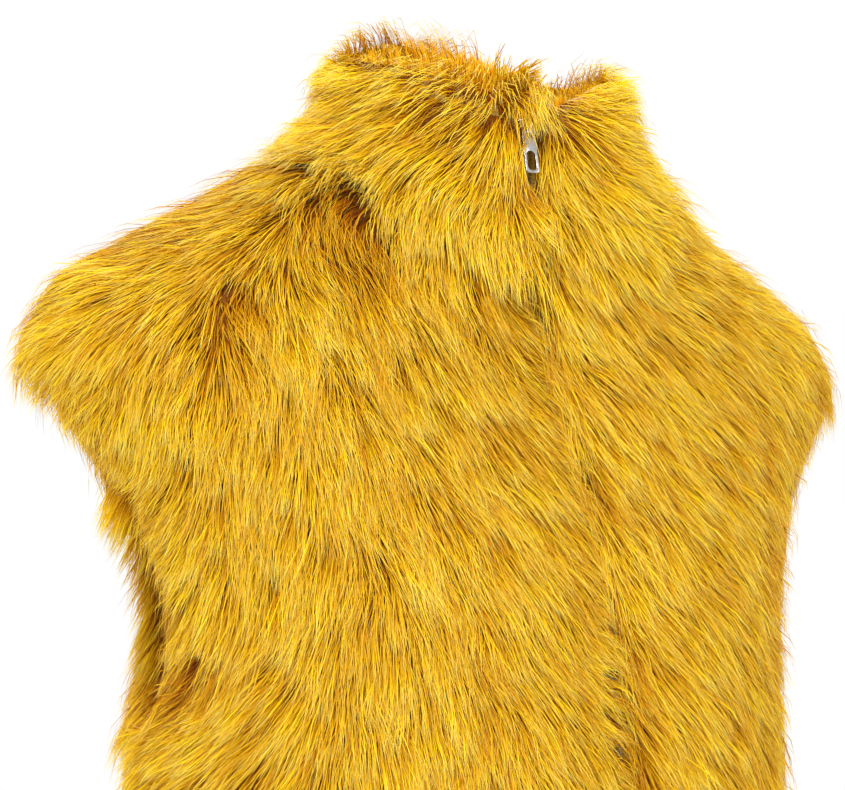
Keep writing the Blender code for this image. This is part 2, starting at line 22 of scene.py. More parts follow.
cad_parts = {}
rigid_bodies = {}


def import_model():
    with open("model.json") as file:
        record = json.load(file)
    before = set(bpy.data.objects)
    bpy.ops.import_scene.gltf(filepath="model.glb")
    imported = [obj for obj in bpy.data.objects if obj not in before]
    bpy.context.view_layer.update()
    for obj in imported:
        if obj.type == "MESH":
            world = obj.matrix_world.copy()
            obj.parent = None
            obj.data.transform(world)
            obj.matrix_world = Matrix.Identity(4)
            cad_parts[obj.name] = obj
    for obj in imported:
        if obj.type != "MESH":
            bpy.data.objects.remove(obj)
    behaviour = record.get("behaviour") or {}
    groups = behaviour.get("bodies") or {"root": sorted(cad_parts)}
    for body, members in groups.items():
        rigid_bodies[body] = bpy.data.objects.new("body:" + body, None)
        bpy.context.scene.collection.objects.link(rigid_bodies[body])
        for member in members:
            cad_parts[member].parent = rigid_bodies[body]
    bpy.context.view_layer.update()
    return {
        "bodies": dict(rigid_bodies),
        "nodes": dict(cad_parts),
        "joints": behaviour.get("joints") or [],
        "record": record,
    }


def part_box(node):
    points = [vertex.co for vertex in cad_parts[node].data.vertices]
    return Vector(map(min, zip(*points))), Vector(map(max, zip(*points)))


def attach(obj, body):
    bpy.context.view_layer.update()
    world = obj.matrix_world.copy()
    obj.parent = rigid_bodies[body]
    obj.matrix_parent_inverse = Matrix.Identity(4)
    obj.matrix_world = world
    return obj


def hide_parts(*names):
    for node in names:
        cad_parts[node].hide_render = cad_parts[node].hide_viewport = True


LOG = logging.getLogger("vest")
BODY = "garment"
TAB_BODY = "pull_tab"
STRAND_MAP = "FurMap"
BAKE_MAP = "OFBake"
CLOTH_MAP = "ClothMap"
WELD = 0.00001
UP = np.array((0.0, 0.0, 1.0))
LEVEL = np.array((1.0, 1.0, 0.0))

Pair = tuple[float, float]
Colour = tuple[float, float, float]
Stops = tuple[tuple[float, Colour], ...]


class Side(Enum):
    """Which way the pile of a panel stands."""

    OUT = 1
    IN = -1


def unit(vectors: np.ndarray) -> np.ndarray:
    """Scale rows of vectors to length one.

    Args:
        vectors: Array whose last axis holds X, Y and Z.

    Returns:
        The array with each row of length one.
    """
    return vectors / np.maximum(np.linalg.norm(vectors, axis=-1, keepdims=True), 1e-12)


def ease(values: np.ndarray, low: float, high: float) -> np.ndarray:
    """Rise smoothly from 0 at low to 1 at high.

    Args:
        values: Values to map.
        low: Value where the rise starts.
        high: Value where it ends.

    Returns:
        Shares from 0 to 1.
    """
    share = np.clip((values - low) / (high - low), 0.0, 1.0)
    return share * share * (3.0 - 2.0 * share)


def search_tree(places: np.ndarray) -> kdtree.KDTree:
    """Put places in a tree that finds the nearest of them."""
    tree = kdtree.KDTree(len(places))
    for number, place in enumerate(places.tolist()):
        tree.insert(place, number)
    tree.balance()
    return tree


def welded_copy(mesh: bpy.types.Mesh) -> bmesh.types.BMesh:
    """Copy a mesh with its doubled corners merged."""
    copy = bmesh.new()
    copy.from_mesh(mesh)
    bmesh.ops.remove_doubles(copy, verts=copy.verts[:], dist=WELD)
    return copy


def link(name: str, data: bpy.types.ID) -> bpy.types.Object:
    """Put a mesh, a lamp or a camera into the scene as an object at the origin."""
    made = bpy.data.objects.new(name, data)
    bpy.context.scene.collection.objects.link(made)
    return made


@dataclass(frozen=True)
class PhotoView:
    """Camera that sees the vest as the photograph does, and the photograph's pixel frame."""

    frame_width_px: float = 845.0
    frame_height_px: float = 790.0
    pixels_per_metre: float = 1775.0
    turn_deg: float = -30.0
    distance: float = 2.1
    eye_height: float = -0.285
    eye_row_px: float = 730.0
    axis_column_px: float = 457.0
    sensor_width: float = 36.0
    nearest: float = 0.05

    @property
    def right(self) -> Vector:
        """Direction to the right of the picture."""
        turn = math.radians(self.turn_deg)
        return Vector((math.cos(turn), math.sin(turn), 0.0))

    @property
    def place(self) -> Vector:
        """Where the camera stands."""
        turn = math.radians(self.turn_deg)
        return Vector((math.sin(turn) * self.distance, -math.cos(turn) * self.distance, self.eye_height))

    @property
    def target(self) -> Vector:
        """Point at the middle of the picture, in the vertical plane through the origin."""
        aside = (self.frame_width_px / 2 - self.axis_column_px) / self.pixels_per_metre
        above = (self.eye_row_px - self.frame_height_px / 2) / self.pixels_per_metre
        return self.right * aside + Vector((0.0, 0.0, self.eye_height + above))

    @property
    def forward(self) -> Vector:
        """Direction in which the camera looks."""
        return (self.target - self.place).normalized()

    @property
    def focal_px(self) -> float:
        """Focal length in pixels of the photograph."""
        return self.pixels_per_metre * (self.target - self.place).length

    def axes(self) -> tuple[np.ndarray, np.ndarray, np.ndarray]:
        """Give the picture's right, up and forward directions as arrays."""
        ahead = self.forward
        right = ahead.cross(Vector(UP)).normalized()
        return np.array(right), np.array(right.cross(ahead)), np.array(ahead)

    def project(self, points: np.ndarray) -> tuple[np.ndarray, np.ndarray]:
        """Find where points lie in the photograph.

        Args:
            points: Rows of X, Y and Z in metres.

        Returns:
            Columns and rows in pixels.
        """
        right, up, ahead = self.axes()
        seen = points - np.array(self.place)
        depth = seen @ ahead
        across = self.frame_width_px / 2 + self.focal_px * (seen @ right) / depth
        down = self.frame_height_px / 2 - self.focal_px * (seen @ up) / depth
        return across, down

    def add_camera(self) -> None:
        """Create the camera and make it the scene's own."""
        data = bpy.data.cameras.new("photo_camera")
        data.sensor_width = self.sensor_width
        data.lens = self.sensor_width * self.focal_px / self.frame_width_px
        data.clip_start = self.nearest
        camera = link("photo_camera", data)
        camera.location = self.place
        camera.rotation_euler = self.forward.to_track_quat("-Z", "Y").to_euler()
        bpy.context.scene.camera = camera


@dataclass(frozen=True)
class SoftLight:
    """One large soft lamp.

    Attributes:
        name: Name of the lamp.
        place: Where it hangs, in metres.
        size: Side of its square face, in metres.
        power: Power in watts.
        colour: Its colour.
    """

    name: str
    place: tuple[float, float, float]
    size: float
    power: float
    colour: Colour = (1.0, 1.0, 1.0)

    def hang(self, aim: Vector) -> None:
        """Create the lamp, turned to a point."""
        data = bpy.data.lights.new(self.name, "AREA")
        data.size = self.size
        data.energy = self.power
        data.color = self.colour
        lamp = link(self.name, data)
        lamp.location = self.place
        lamp.rotation_euler = (aim - Vector(self.place)).to_track_quat("-Z", "Y").to_euler()


@dataclass
class Studio:
    """Plain white studio: pale floor, white surroundings and soft lamps."""

    floor_height: float = -1.36
    floor_size: float = 80.0
    surround: float = 0.68
    backdrop: float = 1.0
    aim: tuple[float, float, float] = (0.0, 0.0, -0.12)
    lamps: tuple[SoftLight, ...] = (
        SoftLight("key", (-1.3, -2.0, 1.9), 1.1, 64.0),
        SoftLight("fill", (1.9, -1.7, 0.5), 1.6, 18.0),
        SoftLight("rim", (0.6, 2.2, 1.5), 1.4, 40.0),
        SoftLight("low", (-2.0, -1.0, -0.55), 1.3, 13.0),
    )

    def build(self) -> None:
        """Make the floor, the surroundings and the lamps."""
        world = bpy.data.worlds.new("white_surround")
        world.use_nodes = True
        sky = world.node_tree.nodes["Background"]
        sky.inputs["Color"].default_value = (1.0, 1.0, 1.0, 1.0)
        rays = world.node_tree.nodes.new("ShaderNodeLightPath")
        strength = world.node_tree.nodes.new("ShaderNodeMapRange")
        strength.inputs["To Min"].default_value = self.surround
        strength.inputs["To Max"].default_value = self.backdrop
        world.node_tree.links.new(rays.outputs["Is Camera Ray"], strength.inputs["Value"])
        world.node_tree.links.new(strength.outputs["Result"], sky.inputs["Strength"])
        bpy.context.scene.world = world
        bpy.context.scene.view_settings.view_transform = "Standard"
        bpy.context.scene.view_settings.look = "None"
        sheet = bmesh.new()
        bmesh.ops.create_grid(sheet, x_segments=1, y_segments=1, size=self.floor_size / 2)
        bmesh.ops.translate(sheet, vec=(0.0, 0.0, self.floor_height), verts=sheet.verts[:])
        mesh = bpy.data.meshes.new("floor")
        sheet.to_mesh(mesh)
        sheet.free()
        mesh.materials.append(PaleFloor().material())
        link("floor", mesh)
        for lamp in self.lamps:
            lamp.hang(Vector(self.aim))


def new_material(name: str) -> tuple[bpy.types.Material, bpy.types.ShaderNodeTree, bpy.types.Node]:
    """Start a material.

    Args:
        name: Name of the material.

    Returns:
        The material, its node tree and its Principled shader.
    """
    material = bpy.data.materials.new(name)
    material.use_nodes = True
    tree = material.node_tree
    return material, tree, tree.nodes["Principled BSDF"]


def ramp_node(tree: bpy.types.NodeTree, stops: Stops) -> bpy.types.Node:
    """Add a colour ramp.

    Args:
        tree: Tree that gets the node.
        stops: Place and colour of each stop.

    Returns:
        The ramp.
    """
    node = tree.nodes.new("ShaderNodeValToRGB")
    elements = node.color_ramp.elements
    while len(elements) < len(stops):
        elements.new(0.5)
    for element, (place, colour) in zip(elements, stops):
        element.position = place
        element.color = (*colour, 1.0)
    return node


def tint(tree: bpy.types.NodeTree, shader: bpy.types.Node, mask: bpy.types.NodeSocket, stops: Stops) -> None:
    """Colour a shader by a mask.

    Args:
        tree: The material's tree.
        shader: Shader that gets the colour.
        mask: Socket of the mask.
        stops: Place and colour of each stop.
    """
    ramp = ramp_node(tree, stops)
    tree.links.new(mask, ramp.inputs["Fac"])
    tree.links.new(ramp.outputs["Color"], shader.inputs["Base Color"])


def math_node(tree: bpy.types.NodeTree, operation: str,
              *values: bpy.types.NodeSocket | float) -> bpy.types.NodeSocket:
    """Add a math node.

    Args:
        tree: The material's tree.
        operation: What it works out.
        values: Its inputs in order, each a socket or a number.

    Returns:
        Socket of the result.
    """
    node = tree.nodes.new("ShaderNodeMath")
    node.operation = operation
    for entry, value in zip(node.inputs, values):
        if isinstance(value, float):
            entry.default_value = value
        else:
            tree.links.new(value, entry)
    return node.outputs["Value"]


def map_parts(tree: bpy.types.NodeTree, chart_name: str) -> bpy.types.NodeOutputs:
    """Add a UV map split into its parts, and give the sockets X, Y and Z."""
    chart = tree.nodes.new("ShaderNodeUVMap")
    chart.uv_map = chart_name
    split = tree.nodes.new("ShaderNodeSeparateXYZ")
    tree.links.new(chart.outputs["UV"], split.inputs["Vector"])
    return split.outputs


def rib_wave(tree: bpy.types.NodeTree, along: bpy.types.NodeSocket, pitch: float) -> bpy.types.NodeSocket:
    """Turn a distance into a row of round ribs.

    Args:
        tree: The material's tree.
        along: Socket of the distance in metres.
        pitch: Distance from rib to rib.

    Returns:
        Socket with a value from 0 to 1.
    """
    turns = math_node(tree, "MULTIPLY", along, math.pi / pitch)
    return math_node(tree, "ABSOLUTE", math_node(tree, "SINE", turns))


@dataclass(frozen=True)
class PaleFloor:
    """Matt pale studio floor."""

    colour: Colour = (0.93, 0.93, 0.93)
    roughness: float = 0.9

    def material(self) -> bpy.types.Material:
        """Make the material."""
        made, _, shader = new_material("pale_floor")
        shader.inputs["Base Color"].default_value = (*self.colour, 1.0)
        shader.inputs["Roughness"].default_value = self.roughness
        return made


@dataclass(frozen=True)
class StrandFinish:
    """Colour of the strands from root to tip, for a deep and for a light strand.

    The strands' own map holds the tone across, from deep at 0 to light at 1, and the place along the strand
    upwards. The dark roots are partly the fur's own colour and partly painted shade deep in the pile; the
    pale tips are partly their own colour and partly painted light shining through them.
    """

    name: str
    deep: Stops
    light: Stops
    roughness: float = 0.50
    specular: float = 0.12
    sheen: float = 0.05
    sheen_roughness: float = 0.4
    sheen_tint: Colour = (1.0, 0.86, 0.45)

    def material(self) -> bpy.types.Material:
        """Make the material."""
        made, tree, shader = new_material(self.name)
        parts = map_parts(tree, STRAND_MAP)
        mix = tree.nodes.new("ShaderNodeMix")
        mix.data_type = "RGBA"
        tree.links.new(parts["X"], mix.inputs["Factor"])
        for stops, entry in ((self.deep, "A"), (self.light, "B")):
            ramp = ramp_node(tree, stops)
            tree.links.new(parts["Y"], ramp.inputs["Fac"])
            tree.links.new(ramp.outputs["Color"], mix.inputs[entry])
        tree.links.new(mix.outputs["Result"], shader.inputs["Base Color"])
        shader.inputs["Roughness"].default_value = self.roughness
        shader.inputs["Specular IOR Level"].default_value = self.specular
        shader.inputs["Sheen Weight"].default_value = self.sheen
        shader.inputs["Sheen Roughness"].default_value = self.sheen_roughness
        shader.inputs["Sheen Tint"].default_value = (*self.sheen_tint, 1.0)
        return made


def uneven_dye_group() -> bpy.types.ShaderNodeTree:
    """Build the node group that gives cloth and metal their uneven tone: a broad cloud with a fine grain.

    Returns:
        The group, with a mask from 0 to 1.
    """
    name = "uneven_dye"
    if name in bpy.data.node_groups:
        return bpy.data.node_groups[name]
    group = bpy.data.node_groups.new(name, "ShaderNodeTree")
    group.interface.new_socket("Vector", in_out="INPUT", socket_type="NodeSocketVector")
    for label, value in (("Broad Scale", 20.0), ("Fine Scale", 400.0), ("Fine Share", 0.4)):
        socket = group.interface.new_socket(label, in_out="INPUT", socket_type="NodeSocketFloat")
        socket.default_value = value
    group.interface.new_socket("Mask", in_out="OUTPUT", socket_type="NodeSocketFloat")
    entry = group.nodes.new("NodeGroupInput")
    leave = group.nodes.new("NodeGroupOutput")
    mix = group.nodes.new("ShaderNodeMix")
    for label, detail, place in (("Broad Scale", 4.0, "A"), ("Fine Scale", 2.0, "B")):
        noise = group.nodes.new("ShaderNodeTexNoise")
        noise.inputs["Detail"].default_value = detail
        group.links.new(entry.outputs["Vector"], noise.inputs["Vector"])
        group.links.new(entry.outputs[label], noise.inputs["Scale"])
        group.links.new(noise.outputs["Fac"], mix.inputs[place])
    group.links.new(entry.outputs["Fine Share"], mix.inputs["Factor"])
    group.links.new(mix.outputs["Result"], leave.inputs["Mask"])
    return group


@dataclass(frozen=True)
class Dye:
    """Uneven tone of one finish.

    Attributes:
        broad: Scale of the cloud.
        fine: Scale of the grain.
        share: How much of the mask is grain.
    """

    broad: float
    fine: float
    share: float

    def place(self, tree: bpy.types.NodeTree, where: bpy.types.NodeSocket) -> bpy.types.NodeSocket:
        """Place the group in a material and give the socket of its mask."""
        node = tree.nodes.new("ShaderNodeGroup")
        node.node_tree = uneven_dye_group()
        node.inputs["Broad Scale"].default_value = self.broad
        node.inputs["Fine Scale"].default_value = self.fine
        node.inputs["Fine Share"].default_value = self.share
        tree.links.new(where, node.inputs["Vector"])
        return node.outputs["Mask"]


def object_coordinates(tree: bpy.types.NodeTree) -> bpy.types.NodeSocket:
    """Add Object coordinates to a material and give their socket."""
    return tree.nodes.new("ShaderNodeTexCoord").outputs["Object"]


@dataclass(frozen=True)
class Relief:
    """Relief of one finish.

    Attributes:
        distance: Depth in metres.
        strength: Share of the effect.
    """

    distance: float
    strength: float

    def raise_on(self, tree: bpy.types.NodeTree, shader: bpy.types.Node,
                 height: bpy.types.NodeSocket) -> None:
        """Raise a height on a shader's normal."""
        bump = tree.nodes.new("ShaderNodeBump")
        bump.inputs["Distance"].default_value = self.distance
        bump.inputs["Strength"].default_value = self.strength
        tree.links.new(height, bump.inputs["Height"])
        tree.links.new(bump.outputs["Normal"], shader.inputs["Normal"])


@dataclass(frozen=True)
class UndercoatFinish:
    """Dense short wool at the roots of the pile, its dark colour partly its own and partly painted shade deep
    in the pile.
    """

    # Dark stops: partly the roots' own colour, partly painted shade deep in the pile
    stops: Stops = ((0.34, (0.10, 0.016, 0.0)), (0.66, (0.44, 0.15, 0.0)))
    dye: Dye = Dye(60.0, 900.0, 0.6)
    relief: Relief = Relief(0.002, 0.9)
    roughness: float = 0.95

    def material(self) -> bpy.types.Material:
        """Make the material."""
        made, tree, shader = new_material("undercoat_painted_shade")
        mask = self.dye.place(tree, object_coordinates(tree))
        tint(tree, shader, mask, self.stops)
        shader.inputs["Roughness"].default_value = self.roughness
        self.relief.raise_on(tree, shader, mask)
        return made


@dataclass(frozen=True)
class BackingFinish:
    """Knitted backing of the fur cloth, as the inside of the vest shows it."""

    stops: Stops = ((0.35, (0.36, 0.20, 0.016)), (0.85, (0.66, 0.43, 0.06)))
    dye: Dye = Dye(18.0, 700.0, 0.35)
    relief: Relief = Relief(0.0005, 0.8)
    course: float = 0.0022
    wale: float = 0.0017
    slant: float = 0.35
    loop_share: float = 0.5
    roughness: float = 0.85
    sheen: float = 0.3

    def material(self) -> bpy.types.Material:
        """Make the material."""
        made, tree, shader = new_material("knit_backing")
        parts = map_parts(tree, CLOTH_MAP)
        wale = rib_wave(tree, parts["X"], self.wale)
        slant = math_node(tree, "MULTIPLY_ADD", wale, self.course * self.slant, parts["Y"])
        loops = math_node(tree, "MULTIPLY", wale, rib_wave(tree, slant, self.course))
        mask = self.dye.place(tree, object_coordinates(tree))
        tint(tree, shader, math_node(tree, "MULTIPLY_ADD", loops, self.loop_share, mask), self.stops)
        shader.inputs["Roughness"].default_value = self.roughness
        shader.inputs["Sheen Weight"].default_value = self.sheen
        self.relief.raise_on(tree, shader, loops)
        return made


@dataclass(frozen=True)
class TapeFinish:
    """Woven tape of the zip, dyed to match the pile."""

    stops: Stops = ((0.35, (0.40, 0.23, 0.02)), (0.85, (0.72, 0.48, 0.07)))
    dye: Dye = Dye(30.0, 1200.0, 0.5)
    relief: Relief = Relief(0.0003, 0.8)
    twill: float = 0.0009
    herringbone: float = 0.004
    rib_share: float = 0.45
    roughness: float = 0.8
    sheen: float = 0.2

    def material(self) -> bpy.types.Material:
        """Make the material."""
        made, tree, shader = new_material("zip_tape_weave")
        where = object_coordinates(tree)
        split = tree.nodes.new("ShaderNodeSeparateXYZ")
        tree.links.new(where, split.inputs["Vector"])
        fold = math_node(tree, "PINGPONG", split.outputs["X"], self.herringbone)
        rib = rib_wave(tree, math_node(tree, "ADD", fold, split.outputs["Z"]), self.twill)
        mask = self.dye.place(tree, where)
        tint(tree, shader, math_node(tree, "MULTIPLY_ADD", rib, self.rib_share, mask), self.stops)
        shader.inputs["Roughness"].default_value = self.roughness
        shader.inputs["Sheen Weight"].default_value = self.sheen
        self.relief.raise_on(tree, shader, rib)
        return made


@dataclass(frozen=True)
class ZipMetalFinish:
    """Bright plated metal with fine rub marks."""

    stops: Stops = ((0.30, (0.42, 0.41, 0.40)), (0.55, (0.70, 0.69, 0.67)))
    dye: Dye = Dye(160.0, 2500.0, 0.5)
    relief: Relief = Relief(0.00005, 0.4)
    roughness: Pair = (0.30, 0.16)

    def material(self) -> bpy.types.Material:
        """Make the material."""
        made, tree, shader = new_material("zip_metal")
        mask = self.dye.place(tree, object_coordinates(tree))
        tint(tree, shader, mask, self.stops)
        rough = tree.nodes.new("ShaderNodeMapRange")
        rough.inputs["To Min"].default_value, rough.inputs["To Max"].default_value = self.roughness
        tree.links.new(mask, rough.inputs["Value"])
        tree.links.new(rough.outputs["Result"], shader.inputs["Roughness"])
        shader.inputs["Metallic"].default_value = 1.0
        self.relief.raise_on(tree, shader, mask)
        return made


# Lie of the pile on the photographed side: row of the picture, then column and lean of the strands in degrees
# from straight down, positive to the picture's right
COMB_ROWS = (
    (35, ((440, -160), (500, 170))),
    (65, ((330, -75), (400, -60), (450, -100), (545, 30))),
    (92, ((300, -78), (340, -66), (380, -50), (460, -55), (500, 45), (600, 105), (640, 110))),
    (120, ((300, -64), (340, -52), (420, -46), (480, -44), (580, 48), (640, 80))),
    (145, ((280, -60), (340, -46), (460, -40), (500, -30), (535, 2), (580, 40), (620, 48), (650, 62))),
    (175, ((300, -54), (380, -38), (440, -34), (480, -20), (535, 2), (570, 16), (600, 34), (640, 46))),
    (210, ((130, -85), (200, -85), (260, -70), (300, 18), (400, -26), (460, -26), (500, -8), (540, 12),
           (600, 30), (680, 56))),
    (255, ((100, -80), (140, -62), (180, -55), (220, -45), (260, -25), (300, 12), (340, 26), (380, 16),
           (420, 2), (460, -10), (500, 8), (540, 20), (600, 34), (700, 56), (760, 66))),
    (300, ((50, -66), (100, -52), (150, -45), (190, -40), (220, -26), (250, 36), (300, 18), (340, 30),
           (380, 26), (420, 22), (500, 24), (560, 30), (640, 38), (720, 48), (790, 60))),
    (340, ((30, -44), (80, -43), (140, -38), (190, -34), (218, 26), (262, 38), (300, 20), (340, 28),
           (380, 24), (440, 26), (540, 30), (620, 34), (720, 40), (810, 44))),
    (385, ((60, -33), (100, -33), (140, 0), (180, -20), (220, 0), (260, 2), (300, -8), (340, 18),
           (380, 22), (440, 26), (540, 32), (640, 34), (740, 34), (810, 20))),
    (425, ((100, -5), (140, 0), (180, -10), (220, 0), (260, -7), (300, -10), (340, 14), (380, 20),
           (440, 26), (540, 32), (640, 34), (740, 34), (800, 20))),
    (500, ((100, -34), (140, -38), (180, -28), (220, 0), (260, -3), (300, -6), (340, 14), (380, 18),
           (420, 22), (460, 26), (520, 32), (600, 34), (700, 36), (780, 26))),
    (580, ((140, -44), (180, -30), (220, 0), (260, 2), (300, -14), (340, -2), (400, 16), (460, 25),
           (520, 30), (600, 32), (700, 34), (770, 22))),
    (660, ((140, -39), (180, -39), (220, -12), (260, -34), (300, -22), (340, 2), (380, 12), (440, 16),
           (500, 24), (560, 32), (640, 36), (700, 34), (770, 18))),
    (740, ((140, -44), (180, -50), (220, -46), (260, -35), (300, -18), (340, 10), (380, 14), (420, 10),
           (460, 8), (500, 16), (560, 32), (640, 36), (700, 34), (770, 18))),
)

# Places where the pile parts and its dark roots show, its strands given a deeper tone there as painted shade
# in the
# gap: column, row and radius in pixels, and strength
PARTINGS = (
    (435, 111, 9, 0.9), (464, 124, 10, 0.8), (310, 202, 20, 0.8), (345, 203, 24, 1.0),
    (362, 222, 22, 0.9), (338, 235, 22, 0.7), (385, 246, 16, 0.6), (300, 222, 14, 0.5),
    (232, 282, 10, 0.8), (218, 304, 10, 0.8), (210, 335, 8, 0.5), (537, 186, 6, 0.9), (536, 245, 9, 0.8),
    (533, 283, 10, 1.0), (540, 312, 9, 1.0), (546, 344, 9, 0.7), (560, 392, 8, 0.6), (580, 440, 9, 0.8),
    (584, 474, 9, 0.8), (592, 517, 9, 0.8), (604, 585, 11, 0.8), (612, 632, 11, 0.9), (616, 676, 12, 0.9),
    (612, 708, 11, 0.7), (624, 752, 13, 1.0), (190, 668, 17, 1.0), (178, 698, 13, 0.9),
)

# Long soft streaks of deeper or paler colour, mostly painted light and shade: painted light on the tops of
# the collar and the shoulders, painted shade along a crease and down the right side, and some tone that
# differs.
# Columns: column and row of both ends, half width in pixels, and change of tone
PAINTED_LIGHT_AND_TONE_STREAKS = (
    (300, 205, 205, 350, 12, -0.17), (242, 274, 259, 294, 5, -0.2), (259, 294, 268, 332, 5, -0.18),
    (240, 300, 262, 346, 8, 0.14), (752, 400, 772, 650, 14, -0.25), (440, 190, 420, 330, 20, -0.12),
    (560, 230, 640, 330, 16, -0.1), (120, 230, 40, 330, 30, 0.22), (330, 60, 300, 150, 22, 0.18),
    (600, 80, 650, 160, 24, 0.22), (540, 75, 620, 95, 14, 0.25), (700, 240, 800, 330, 26, 0.18),
    (170, 400, 120, 520, 22, 0.15), (140, 720, 135, 790, 20, 0.12), (330, 420, 340, 700, 30, 0.06),
)


@dataclass(frozen=True)
class SmoothNoise:
    """Soft random field in space: a sum of sine waves in many directions."""

    seed: int
    pitch: float
    waves: int = 9
    spread: Pair = (0.6, 1.5)

    def at(self, points: np.ndarray) -> np.ndarray:
        """Read the field.

        Args:
            points: Rows of X, Y and Z.

        Returns:
            Values that mostly lie from -1 to 1.
        """
        rng = np.random.default_rng(self.seed)
        ways = unit(rng.normal(size=(self.waves, 3))) * (2 * math.pi / self.pitch)
        ways = ways * rng.uniform(*self.spread, (self.waves, 1))
        starts = rng.uniform(0, 2 * math.pi, self.waves)
        return np.sin(points @ ways.T + starts).sum(axis=1) / math.sqrt(self.waves / 2)


@dataclass(frozen=True)
class Comb:
    """Gives the lie of the pile at any place: marks on the photographed side, a plain rule elsewhere."""

    view: PhotoView = field(default_factory=PhotoView)
    reach_px: float = 26.0
    mark_trust: float = 0.08
    zip_lean: float = -0.008
    zip_line: tuple[Pair, ...] = ((-0.6, 0.0), (0.1, 0.0))
    zip_cover: float = 0.010
    zip_cross: float = 0.42
    spread_width: float = 0.09
    spread: float = 0.12
    shoulder_spread: float = 1.5
    shoulder_band: Pair = (0.15, 0.75)
    collar_spread: float = 0.9
    crest_band: Pair = (0.35, 0.8)
    crest_spread: float = 0.7
    ledge_band: Pair = (-0.1, 0.3)
    ledge_spread: float = 0.3
    inside_twist: float = 0.15
    neck_back: float = 0.010
    facing_band: Pair = (-0.25, 0.15)
    below_px: float = 170.0
    above_px: float = 10.0
    least_facing: float = 0.25
    most_depth: float = 1.6

    @staticmethod
    def project_onto(vectors: np.ndarray, normals: np.ndarray) -> np.ndarray:
        """Lay vectors flat on the surface and scale them to length one."""
        return unit(vectors - normals * np.sum(vectors * normals, axis=1, keepdims=True))

    def rule(self, points: np.ndarray, normals: np.ndarray, collar: np.ndarray, side: Side) -> np.ndarray:
        """Give the plain lie of the pile.

        It runs down the body, outwards over the shoulders, and down and away from the zip on the collar.

        Args:
            points: Places on the surface.
            normals: Normals there.
            collar: True on the collar.
            side: Which way the pile stands.

        Returns:
            Directions along the surface.
        """
        if side is Side.IN:
            up = np.zeros_like(points) + UP
            return self.project_onto(up + self.inside_twist * np.cross(normals, UP), normals)
        outward = np.zeros_like(points)
        outward[:, 0] = np.clip(points[:, 0] / self.spread_width, -1.0, 1.0)
        top = ease(normals[:, 2], *self.shoulder_band)[:, None]
        away = np.zeros_like(points)
        turn = np.arctan2(points[:, 0] - self.zip_lean, -points[:, 1])
        away[:, 0] = np.cos(turn) * np.sin(turn)
        away[:, 1] = np.abs(np.sin(turn)) * np.abs(np.sin(turn))
        share = collar.astype(float)[:, None]
        radial = unit(points * LEVEL + np.array((0.0, self.neck_back, 0.0)))
        crest = share * ease(normals[:, 2], *self.crest_band)[:, None]
        ledge = share * ease(-np.sum(radial * normals, axis=1), *self.ledge_band)[:, None] * (1 - crest)
        lie = -UP + outward * (self.spread + self.shoulder_spread * top) * (1 - share)
        lie = lie + away * self.collar_spread * share
        lie = lie * (1 - crest) + (radial + away * self.crest_spread) * crest
        lie = lie * (1 - ledge) + (UP + (radial + away) * self.ledge_spread) * ledge
        return self.project_onto(lie, normals)

    def beside_zip(self, points: np.ndarray) -> np.ndarray:
        """Tell how near each place is to the closed front's line, from 0 to 1."""
        return np.exp(-((self.off_zip(points) / self.zip_cover) ** 2)) * (points[:, 1] < 0.0)

    def off_zip(self, points: np.ndarray) -> np.ndarray:
        """Give how far each place lies to the side of the chain, positive to the garment's left."""
        heights, sides = np.array(self.zip_line).T
        return points[:, 0] - np.interp(points[:, 2], heights, sides)

    def marks(self) -> tuple[np.ndarray, np.ndarray]:
        """Give the places of the marks in pixels, and their directions across and down."""
        rows = [(column, row, lean) for row, found in COMB_ROWS for column, lean in found]
        table = np.array(rows, dtype=float)
        lean = np.radians(table[:, 2])
        return table[:, :2], np.stack((np.sin(lean), np.cos(lean)), axis=1)

    def seen(self, points: np.ndarray, normals: np.ndarray) -> np.ndarray:
        """Tell how far each place belongs to the photographed side, from 0 to 1."""
        back = unit(np.array(self.view.place) - points)
        down = self.view.project(points)[1]
        facing = ease(np.sum(back * normals, axis=1), *self.facing_band)
        edge = self.view.frame_height_px
        return facing * ease(down, edge + self.below_px, edge - self.above_px)

    def direction(self, points: np.ndarray, normals: np.ndarray, collar: np.ndarray,
                  side: Side) -> np.ndarray:
        """Give the lie of the pile.

        Args:
            points: Places on the surface.
            normals: Normals there.
            collar: True on the collar.
            side: Which way the pile stands.

        Returns:
            Directions along the surface.
        """
        plain = self.rule(points, normals, collar, side)
        if side is Side.IN:
            return plain
        across, down = self.view.project(points)
        places, ways = self.marks()
        total = np.zeros((len(points), 2))
        weight = np.zeros(len(points))
        for (column, row), way in zip(places, ways):
            near = np.exp(-((across - column) ** 2 + (down - row) ** 2) / (2 * self.reach_px**2))
            total += near[:, None] * way
            weight += near
        flat = total / np.maximum(np.linalg.norm(total, axis=1, keepdims=True), 1e-9)
        right, up, ahead = self.view.axes()
        lie = flat[:, :1] * right - flat[:, 1:] * up
        facing = normals @ ahead
        facing = np.where(np.abs(facing) < self.least_facing, -self.least_facing, facing)
        into = -np.sum(lie * normals, axis=1) / facing
        lie = lie + np.clip(into, -self.most_depth, self.most_depth)[:, None] * ahead
        lie = self.project_onto(lie, normals)
        trust = (weight / (weight + self.mark_trust) * self.seen(points, normals))[:, None]
        lie = plain * (1 - trust) + lie * trust
        lie[:, 0] -= np.sign(self.off_zip(points)) * self.zip_cross * self.beside_zip(points)
        return self.project_onto(lie, normals)

    def sweep(self, degrees: float) -> np.ndarray:
        """Give the direction in the picture's plane that points down, and to its left by an angle."""
        right, up, _ = self.view.axes()
        return -right * math.sin(math.radians(degrees)) - up * math.cos(math.radians(degrees))

